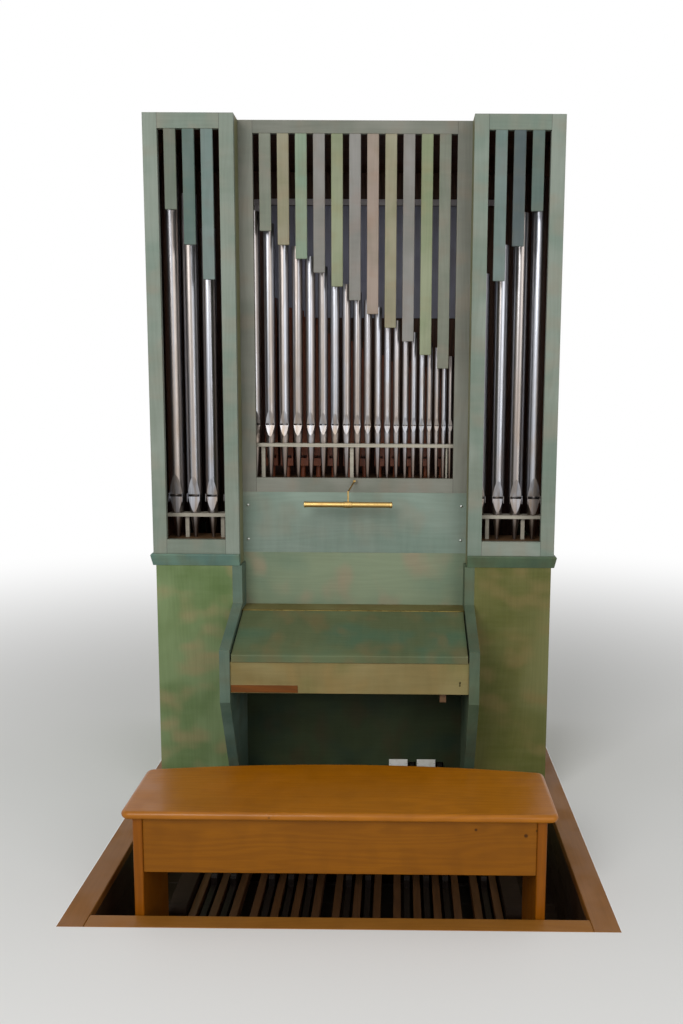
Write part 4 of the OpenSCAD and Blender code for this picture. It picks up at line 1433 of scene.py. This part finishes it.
@dataclass(frozen=True)
class RecessBoards(SubAssembly):
    """The floor and the lining of the recess, as boards that touch at their eased edges."""

    floor_rows: int = 14
    floor_edge: float = 0.0015
    lining_rows: int = 3
    lining_edge: float = 0.001
    end_gap: float = 0.001

    def pieces(self) -> Iterator[Piece]:
        """Makes the floor, the two long sides and the two ends.

        Yields:
            The pieces.
        """
        lining, edge = SIZES.lining, self.lining_edge
        inner, outer = SIZES.pit_half - self.end_gap, SIZES.pit_half + lining
        front, back = SIZES.pit_front - lining, SIZES.pit_back + lining
        floor, sides, ends = Shape(), Shape(), Shape()
        for near, far, tone in self.rows(front, back, self.floor_rows, seed=11):
            floor.board((-outer, near, 0.0), (outer, far, SIZES.board), Axis.X, self.floor_edge, tone)
        for low, high, tone in self.rows(SIZES.board, SIZES.kerb_low, self.lining_rows, seed=12):
            for x in (-outer, SIZES.pit_half):
                sides.board((x, front, low), (x + lining, back, high), Axis.Y, edge, tone)
            for y in (front, SIZES.pit_back):
                ends.board((-inner, y, low), (inner, y + lining, high), Axis.X, edge, 1.0 - tone)
        planks = VarnishedWood(
            "recess_floor", "3a281c", "1e140d", Axis.X, seed=11.0, rough=0.42, coat=0.08, tone_share=0.5
        )
        yield Piece("recess_floor_boards", floor, planks, "pit_boards", replaces=("pit_floor",))
        along = VarnishedWood(
            "lining_sides", "42301f", "22170e", Axis.Y, seed=12.0, rough=0.45, coat=0.05
        )
        yield Piece("recess_side_boards", sides, along, "pit_boards", replaces=("pit_lining",))
        across = VarnishedWood(
            "lining_ends", "42301f", "22170e", Axis.X, seed=13.0, rough=0.45, coat=0.05
        )
        yield Piece("recess_end_boards", ends, across, "pit_boards", replaces=("pit_lining",))


@dataclass(frozen=True)
class KerbBoards(SubAssembly):
    """The kerb round the recess: two long boards with two short ones between them."""

    end_width: float = 0.062
    edge: float = 0.0025

    def pieces(self) -> Iterator[Piece]:
        """Makes the side and the end boards.

        Yields:
            The pieces.
        """
        low, high, inner = SIZES.kerb_low, SIZES.tile_level, SIZES.pit_half
        front, back = SIZES.kerb_front, SIZES.kerb_back
        tones = self.tones(4, seed=14)
        sides, ends = Shape(), Shape()
        for x0, x1, tone in ((-SIZES.kerb_half, -inner, tones[0]), (inner, SIZES.kerb_half, tones[1])):
            sides.board((x0, front, low), (x1, back, high), Axis.Y, self.edge, tone)
        for y, tone in ((front, tones[2]), (back - self.end_width, tones[3])):
            ends.board((-inner, y, low), (inner, y + self.end_width, high), Axis.X, self.edge, tone)
        along = VarnishedWood(
            "kerb_side", "8c5c26", "744a1c", Axis.Y, seed=14.0, rough=0.5, coat=0.0, ring_share=0.2
        )
        yield Piece("kerb_side_boards", sides, along, "kerb_wood", replaces=("kerb_rails",))
        across = VarnishedWood(
            "kerb_front", "966424", "7c4e18", Axis.X, seed=15.0, rough=0.5, coat=0.0, ring_share=0.2
        )
        yield Piece("kerb_end_boards", ends, across, "kerb_wood", replaces=("kerb_rails",))


@dataclass(frozen=True)
class Bench(SubAssembly):
    """The bench: a top with a half-round edge and a bowed back, ends and aprons."""

    half: float = 0.635
    front: float = -0.858
    corner_back: float = -0.563
    radius: float = 0.026
    bow: float = 0.050
    top: float = 0.646
    under: float = 0.622
    end_half: float = 0.604
    end_width: float = 0.028
    end_front: float = -0.836
    end_back: float = -0.553
    apron_width: float = 0.020
    apron_low: float = 0.448
    apron_places: tuple[float, float] = (-0.830, -0.579)
    apron_overlap: float = 0.001
    apron_tone: float = 0.3
    edge: float = 0.0025
    corner_steps: int = 6
    bow_steps: int = 32
    seat_knot: Knot = Knot((-0.202, -0.862, 0.634), radius=0.006)
    apron_knots: tuple[Knot, ...] = (
        Knot((0.397, -0.8375, 0.590), radius=0.006),
        Knot((0.543, -0.8375, 0.573), radius=0.008),
        Knot((0.5745, -0.8375, 0.5885), radius=0.005),
    )

    def outline(self) -> np.ndarray:
        """Works out the top's plan, anticlockwise from its right side.

        A corner is a quarter circle. The back edge's y is the corner's centre plus
        its radius plus the bow times 1 - u u, with u from 1 to -1 along it.

        Returns:
            The points as x and y.
        """
        reach = self.half - self.radius
        turn = np.linspace(0.0, math.pi / 2, self.corner_steps + 1)
        corner = self.radius * np.stack([np.cos(turn), np.sin(turn)], axis=1)
        share = np.linspace(1.0, -1.0, self.bow_steps + 1)[1:-1]
        bowed = self.corner_back + self.radius + self.bow * (1 - share**2)
        back = np.stack([share * reach, bowed], axis=1)
        near = self.front + self.radius
        return np.concatenate(
            [
                corner[:-1] + (reach, self.corner_back),
                back,
                corner[::-1][1:] * (-1, 1) + (-reach, self.corner_back),
                -corner + (-reach, near),
                corner[::-1] * (1, -1) + (reach, near),
            ]
        )

    def pieces(self) -> Iterator[Piece]:
        """Makes the top, the ends and the aprons.

        Yields:
            The pieces.
        """
        seat, ends, aprons = Shape(), Shape(), Shape()
        seat.slab(self.outline(), self.under, self.top)
        tones = self.tones(4, seed=16)
        for x, tone in ((-self.end_half, tones[0]), (self.end_half - self.end_width, tones[1])):
            low, high = (x, self.end_front, SIZES.board), (x + self.end_width, self.end_back, self.under)
            ends.board(low, high, Axis.Z, self.edge, tone)
        reach = self.end_half - self.end_width + self.apron_overlap
        for y, tone in zip(self.apron_places, tones[2:]):
            low, high = (-reach, y, self.apron_low), (reach, y + self.apron_width, self.under)
            aprons.board(low, high, Axis.X, self.edge, self.apron_tone * tone)
        top = VarnishedWood(
            "bench_top", "a26206", "844c02", Axis.X, seed=8.0, rough=0.28, coat=0.18, ring_share=0.3,
            specular=0.2, knots=(self.seat_knot,),
        )
        yield Piece("bench_seat_board", seat, top, "bench_pine", replaces=("bench_top",))
        upright = VarnishedWood(
            "bench_ends", "8a4e04", "6a3802", Axis.Z, seed=16.0, rough=0.38, coat=0.04, ring_share=0.3,
            specular=0.15,
        )
        yield Piece("bench_end_boards", ends, upright, "bench_pine", replaces=("bench_frame",))
        long = VarnishedWood(
            "bench_aprons", "885204", "6a3c02", Axis.X, seed=17.0, rough=0.38, coat=0.04, ring_share=0.3,
            specular=0.15, knots=self.apron_knots,
        )
        yield Piece("bench_apron_boards", aprons, long, "bench_pine", replaces=("bench_frame",))


@dataclass(frozen=True)
class KeyCovers(SubAssembly):
    """The pale covers of the long keys and the dark bodies of the short ones.

    An octave has seven long keys. A short one follows those that short_after lists.
    """

    half: float = 0.381
    count: int = 32
    pitch: float = 0.0238125
    gap: float = 0.0006
    top: float = 0.885
    front: float = -0.248
    tail: float = -0.107
    cover: float = 0.0012
    drop: float = 0.020
    top_edge: float = 0.0004
    front_edge: float = 0.0003
    front_inset: float = 0.0002
    cover_tone: float = 0.5
    octave: int = 7
    short_after: tuple[int, ...] = (0, 1, 3, 4, 5)
    short_run: Profile = ((-0.2005, 0.0012), (-0.1985, 0.0100), (-0.1957, 0.0125))
    short_half: float = 0.0056
    short_top_half: float = 0.0052
    short_shoulder: float = 0.8
    short_foot: float = 0.0011

    def short_key(self, shape: Shape, middle: float, tone: float) -> None:
        """Adds a short key: a six-sided section carried back, sloped at its front.

        The run gives places along the key with the height there, and ends at the
        tail. The section is upright to its shoulder and narrows from there to its top.

        Args:
            shape: The shape that it goes into.
            middle: Its middle across the keyboard.
            tone: Its tone.
        """
        run = np.array([*self.short_run, (self.tail, self.short_run[-1][1])])
        foot, top = self.short_half, self.short_top_half
        across = np.array((-foot, -foot, -top, top, foot, foot))
        share = np.array((0.0, self.short_shoulder, 1.0, 1.0, self.short_shoulder, 0.0))
        sections = np.empty((len(run), len(across), 3))
        sections[..., 0] = middle + across
        sections[..., 1] = run[:, :1]
        sections[..., 2] = self.top + np.maximum(run[:, 1:] * share, self.short_foot)
        shape.skin(sections, tone)

    def pieces(self) -> Iterator[Piece]:
        """Makes the covers of the long keys, and the short keys between them.

        Yields:
            The pieces.
        """
        pale, dark = Shape(), Shape()
        for k, tone in enumerate(self.tones(self.count, seed=18)):
            x0 = -self.half + k * self.pitch + self.gap
            x1 = x0 + self.pitch - 2 * self.gap
            lip = self.front - self.cover
            shade = self.cover_tone * tone
            low, high = (x0, lip, self.top), (x1, self.tail, self.top + self.cover)
            pale.board(low, high, Axis.Y, self.top_edge, shade)
            low, high = (x0, lip + self.front_inset, self.top - self.drop), (x1, self.front, self.top)
            pale.board(low, high, Axis.X, self.front_edge, shade)
            if k % self.octave in self.short_after and k < self.count - 1:
                self.short_key(dark, -self.half + (k + 1) * self.pitch, tone)
        bone = Glaze("key_bone", "e4dcc4", "b9a67c", rough=0.22)
        yield Piece("long_key_covers", pale, bone, "key_covering")
        ebony = VarnishedWood("key_ebony", "1c1512", "0e0a08", Axis.Y, seed=18.0, rough=0.25, coat=0.3)
        yield Piece("short_key_covers", dark, ebony, "key_covering")


@dataclass(frozen=True)
class LidHinge(SubAssembly):
    """The sleeves on the hinge's knuckles, each with the body that it turns with."""

    y: float = -0.014
    z: float = 1.042
    pitch: float = 0.118
    gap: float = 0.0008
    inner: float = 0.00355
    outer: float = 0.0039
    case_places: tuple[int, ...] = (0, 2, 4, 6)
    lid_places: tuple[int, ...] = (1, 3, 5)

    def sleeves(self, name: str, body: str, slot: str, places: Sequence[int]) -> Piece:
        """Makes one body's sleeves.

        Args:
            name: The piece's name.
            body: The body.
            slot: The material slot.
            places: The knuckles, counted from the left.

        Returns:
            The piece.
        """
        shape = Shape()
        for place in places:
            start = -SIZES.cheek_half + place * self.pitch + self.gap
            end = start + self.pitch - 2 * self.gap
            shape.ring(self.inner, self.outer, start, end, (0.0, self.y, self.z), Axis.X)
        return Piece(name, shape, WornMetal("hinge_brass", "6e6238", "4a4024", rough=0.5), slot, body)

    def pieces(self) -> Iterator[Piece]:
        """Makes the case's and the lid's sleeves.

        Yields:
            The pieces.
        """
        yield self.sleeves("case_hinge_sleeves", "case", "olive_paint", self.case_places)
        yield self.sleeves("lid_hinge_sleeves", "lid", "lid_paint", self.lid_places)


@dataclass(frozen=True)
class ReadingLamp(SubAssembly):
    """The trim and the bulb of the lamp's tube.

    A profile gives places along its axis with the radius there.
    """

    centre: Point = (-0.020, 0.008, 1.436)
    half: float = 0.1615
    tube: float = 0.0106
    end_ring: float = 0.0116
    bead_ring: float = 0.0124
    ring_low: float = 0.0065
    ring_high: float = 0.0005
    bead_place: float = 0.0145
    bead_half: float = 0.0013
    cap: Profile = ((0.0, 0.0092), (0.0010, 0.0088), (0.0016, 0.0040), (0.0017, 0.0005))
    screw: Profile = ((-0.0134, 0.0004), (-0.0131, 0.0016), (-0.0122, 0.0020), (-0.0110, 0.0020))
    screw_places: tuple[float, float] = (-0.006, 0.006)
    bulb_half: float = 0.138
    bulb_radius: float = 0.0072
    bulb_tip: float = 0.0004
    bulb_steps: int = 5

    def trim(self) -> Shape:
        """Makes the end rings and caps, the beads beside the holder and its screws.

        Returns:
            The shape.
        """
        shape = Shape()
        x, y, z = self.centre
        for side in (-1, 1):
            low, high = sorted((side * (self.half - self.ring_low), side * (self.half - self.ring_high)))
            shape.ring(self.tube, self.end_ring, low, high, self.centre, Axis.X)
            bead = side * self.bead_place
            low, high = bead - self.bead_half, bead + self.bead_half
            shape.ring(self.tube, self.bead_ring, low, high, self.centre, Axis.X)
            cap = [(side * place, radius) for place, radius in self.cap]
            shape.turned(cap[::side], (x + side * self.half, y, z), Axis.X)
        for place in self.screw_places:
            shape.turned(self.screw, (x + place, y, z), Axis.Y, steps=16)
        return shape

    def bulb(self) -> Shape:
        """Makes the bulb: a rod whose ends are quarter circles in profile.

        Returns:
            The shape.
        """
        angle = np.linspace(0.0, math.pi / 2, self.bulb_steps + 1)[:-1]
        place = self.bulb_half - self.bulb_radius * (1 - np.sin(angle))
        end = np.stack([place, self.bulb_radius * np.cos(angle)], axis=1)
        end = np.concatenate([end, [(self.bulb_half, self.bulb_tip)]])
        shape = Shape()
        shape.turned(np.concatenate([end[::-1] * (-1, 1), end]), self.centre, Axis.X, steps=24)
        return shape

    def pieces(self) -> Iterator[Piece]:
        """Makes the trim and the bulb.

        Yields:
            The pieces.
        """
        trim = WornMetal("lamp_trim", "cdae70", "8e7044", rough=0.22)
        yield Piece("lamp_trim", self.trim(), trim, "lamp_brass", "lamp")
        glass = Glaze("bulb_glass", "f2efe4", "d8d2c0", rough=0.18, clear=0.35)
        yield Piece("lamp_bulb", self.bulb(), glass, "lamp_brass", "lamp")


@dataclass(frozen=True)
class ConsoleFittings(SubAssembly):
    """The bare plates over the levers, the slip's bare strip and the screw caps.

    A profile gives places along its axis with the radius there.
    """

    plate_places: tuple[float, float] = (0.136, 0.244)
    plate_width: float = 0.072
    plate_face: float = 0.0776
    plate_low: float = 0.398
    plate_high: float = 0.431
    plate_depth: float = 0.001
    edge: float = 0.0004
    screw_inset: float = 0.004
    screw: Profile = ((-0.0009, 0.0004), (-0.0007, 0.0011), (0.0, 0.0015), (0.0004, 0.0015))
    strip_low: Point = (-0.4105, -0.2800, 0.8145)
    strip_high: Point = (-0.1795, -0.2785, 0.8405)
    cap_x: float = 0.4015
    cap_heights: tuple[float, float] = (1.293, 1.423)
    cap_face: float = 0.0885
    cap: Profile = ((-0.0024, 0.0004), (-0.0021, 0.0024), (-0.0012, 0.0042), (0.0004, 0.0050))

    def pieces(self) -> Iterator[Piece]:
        """Makes the plates with their screws, the strip and the caps.

        Yields:
            The pieces.
        """
        plates, screws, strip, caps = Shape(), Shape(), Shape(), Shape()
        middle = (self.plate_low + self.plate_high) / 2
        for x in self.plate_places:
            low, end = (x, self.plate_face, self.plate_low), x + self.plate_width
            high = (end, self.plate_face + self.plate_depth, self.plate_high)
            plates.board(low, high, Axis.X, self.edge)
            for place in (x + self.screw_inset, end - self.screw_inset):
                screws.turned(self.screw, (place, self.plate_face, middle), Axis.Y, steps=16)
        enamel = Glaze("plate_enamel", "dcdcd6", "b5b09c", rough=0.3)
        yield Piece("bare_lever_plates", plates, enamel, "lever_iron")
        steel = WornMetal("screw_steel", "8c8a84", "55504a", rough=0.3)
        yield Piece("plate_screws", screws, steel, "lever_iron")
        strip.board(self.strip_low, self.strip_high, Axis.X, self.edge)
        bare = VarnishedWood("bare_strip", "6e3c04", "4e2a02", Axis.X, seed=19.0, rough=0.5, coat=0.0)
        yield Piece("slip_bare_strip", strip, bare, "key_slip_wood")
        for x in (-self.cap_x, self.cap_x):
            for z in self.cap_heights:
                caps.turned(self.cap, (x, self.cap_face, z), Axis.Y, steps=24)
        nickel = WornMetal("cap_nickel", "c4c6c2", "8c8a80", rough=0.3)
        yield Piece("desk_screw_caps", caps, nickel, "pale_paint")


@dataclass(frozen=True)
class CaseInside(SubAssembly):
    """The pale rail and the grey screen that show behind the pipes."""

    rail_face: float = 0.8085
    rail_rear: float = 0.8110
    rail_low: float = 2.649
    rail_high: float = 2.675
    rail_end: float = 0.620
    rail_edge: float = 0.0006
    block_left: float = -0.471
    block_right: float = -0.441
    block_face: float = 0.800
    block_low: float = 2.613
    block_high: float = 2.671
    block_edge: float = 0.0015
    block_tone: float = 0.5
    screen_face: float = 0.8243
    screen_low: float = 2.169
    screen_boards: int = 7
    screen_gap: float = 0.0004
    screen_edge: float = 0.0005
    back_face: float = 0.8262

    def pieces(self) -> Iterator[Piece]:
        """Makes the rail with its block, and the screen's boards.

        Yields:
            The pieces.
        """
        left = -SIZES.centre_half
        rail, screen = Shape(), Shape()
        low, high = (left, self.rail_face, self.rail_low), (self.rail_end, self.rail_rear, self.rail_high)
        rail.board(low, high, Axis.X, self.rail_edge)
        low = (self.block_left, self.block_face, self.block_low)
        high = (self.block_right, self.back_face, self.block_high)
        rail.board(low, high, Axis.X, self.block_edge, self.block_tone)
        for near, far, tone in self.rows(left, -left, self.screen_boards, seed=23):
            low = (near + self.screen_gap, self.screen_face, self.screen_low)
            high = (far - self.screen_gap, self.back_face, self.rail_low)
            screen.board(low, high, Axis.Z, self.screen_edge, tone)
        light = VarnishedWood("inner_rail", "d8d0d2", "b2aaac", Axis.X, seed=22.0, rough=0.5, coat=0.0)
        yield Piece("inner_rail", rail, light, "plain_back")
        grey = StainedWood("inner_screen", Stain("9898ac", "a8a8b8", "84849a", "908c90"), seed=23)
        yield Piece("inner_screen_boards", screen, grey, "plain_back")


SUB_ASSEMBLIES: tuple[SubAssembly, ...] = (
    SlatRows(),
    RecessBoards(),
    KerbBoards(),
    Bench(),
    KeyCovers(),
    LidHinge(),
    ReadingLamp(),
    ConsoleFittings(),
    CaseInside(),
)


@dataclass(frozen=True)
class CameraPlan:
    """Where the photo was taken from, as fitted to the model's edges in the photo."""

    across: float = 0.161567
    distance: float = 3.428291
    height: float = 1.547608
    pitch: float = 7.58
    yaw: float = 0.414
    roll: float = 0.367
    focal: float = 941.973
    long_side: float = 1024.0
    shift: float = -0.04803
    sensor: float = 36.0
    clip: float = 0.05

    def build(self) -> bpy.types.Object:
        """Makes the camera: turned by roll, then tipped down by pitch, then by yaw.

        Returns:
            The camera, which is also the scene's camera.
        """
        data = bpy.data.cameras.new("photo_camera")
        data.sensor_fit = "VERTICAL"
        data.sensor_height = self.sensor
        data.lens = self.focal / self.long_side * self.sensor
        data.shift_x = self.shift
        data.clip_start = self.clip
        camera = placed("photo_camera", data)
        turn = (
            Matrix.Rotation(math.radians(self.yaw), 4, "Z")
            @ Matrix.Rotation(math.radians(90.0 - self.pitch), 4, "X")
            @ Matrix.Rotation(math.radians(self.roll), 4, "Z")
        )
        place = (self.across, SIZES.shift_y - self.distance, SIZES.tile_level + self.height)
        camera.matrix_world = Matrix.Translation(place) @ turn
        bpy.context.scene.camera = camera
        return camera


@dataclass(frozen=True)
class Light:
    """A soft square light that faces a point. Its power is in watts."""

    name: str
    place: Point
    target: Point
    size: float
    power: float

    def build(self) -> None:
        """Adds the light."""
        data = bpy.data.lights.new(self.name, "AREA")
        data.size = self.size
        data.energy = self.power
        lamp = placed(self.name, data)
        lamp.location = self.place
        facing = Vector(self.target) - Vector(self.place)
        lamp.rotation_euler = facing.to_track_quat("-Z", "Y").to_euler()


@dataclass(frozen=True)
class Stage:
    """The plain floor with the recess's opening, the lights and the background.

    The sky's strength has two values: as a light, and as the white that is seen.
    """

    painter: Painter
    reach: float = 9.0
    drop: float = 0.001
    sky: tuple[float, float] = (0.5, 1.0)
    lights: tuple[Light, ...] = (
        Light("key", (-1.9, -5.0, 3.9), (0.0, 0.0, 1.4), size=2.6, power=150.0),
        Light("fill", (2.8, -4.6, 2.6), (0.0, 0.0, 1.3), size=2.8, power=60.0),
    )

    def floor(self) -> bpy.types.Object:
        """Makes the floor just under tile level: a wide sheet with a rectangular opening.

        The sheet is the ring between the opening's corners and the same corners
        pushed outwards, so its four faces are (corner i, far i, far i+1, corner i+1).

        Returns:
            The floor object.
        """
        half, reach = SIZES.kerb_half, self.reach
        front = SIZES.kerb_front + SIZES.shift_y
        back = SIZES.kerb_back + SIZES.shift_y
        near = [(-half, front), (half, front), (half, back), (-half, back)]
        far = [(-reach, -reach), (reach, -reach), (reach, reach), (-reach, reach)]
        level = SIZES.tile_level - self.drop
        points = [(x, y, level) for x, y in near + far]
        faces = [(i, 4 + i, 4 + (i + 1) % 4, (i + 1) % 4) for i in range(4)]
        mesh = bpy.data.meshes.new("stage_floor")
        mesh.from_pydata(points, [], faces)
        mesh.materials.append(self.painter.material(PlainFloor("stage_floor")))
        floor = placed("stage_floor", mesh)
        return floor

    def background(self) -> None:
        """Makes the background white to the camera and soft grey as a light."""
        world = bpy.data.worlds.new("world")
        world.use_nodes = True
        bpy.context.scene.world = world
        n = Nodes(world.node_tree)
        world.node_tree.nodes.clear()
        strength = n.remap(n.seen(), 0.0, 1.0, self.sky)
        sky = n.add("Background", {0: WHITE, 1: strength})
        out = n.add("OutputWorld")
        world.node_tree.links.new(sky.outputs[0], out.inputs[0])

    def build(self) -> None:
        """Makes the floor, the lights and the background."""
        self.floor()
        self.background()
        for light in self.lights:
            light.build()


def set_view() -> None:
    """Sets the plain colour transform."""
    bpy.context.scene.view_settings.view_transform = "Standard"


def main() -> None:
    """Builds the whole scene."""
    logging.basicConfig(level=logging.INFO)
    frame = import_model()
    set_view()
    painter = Painter(frame["nodes"])
    painter.paint_all()
    for group in SUB_ASSEMBLIES:
        for piece in group.pieces():
            piece.build(painter)
    Stage(painter).build()
    CameraPlan().build()
    bpy.context.view_layer.update()


if __name__ == "__main__":
    main()
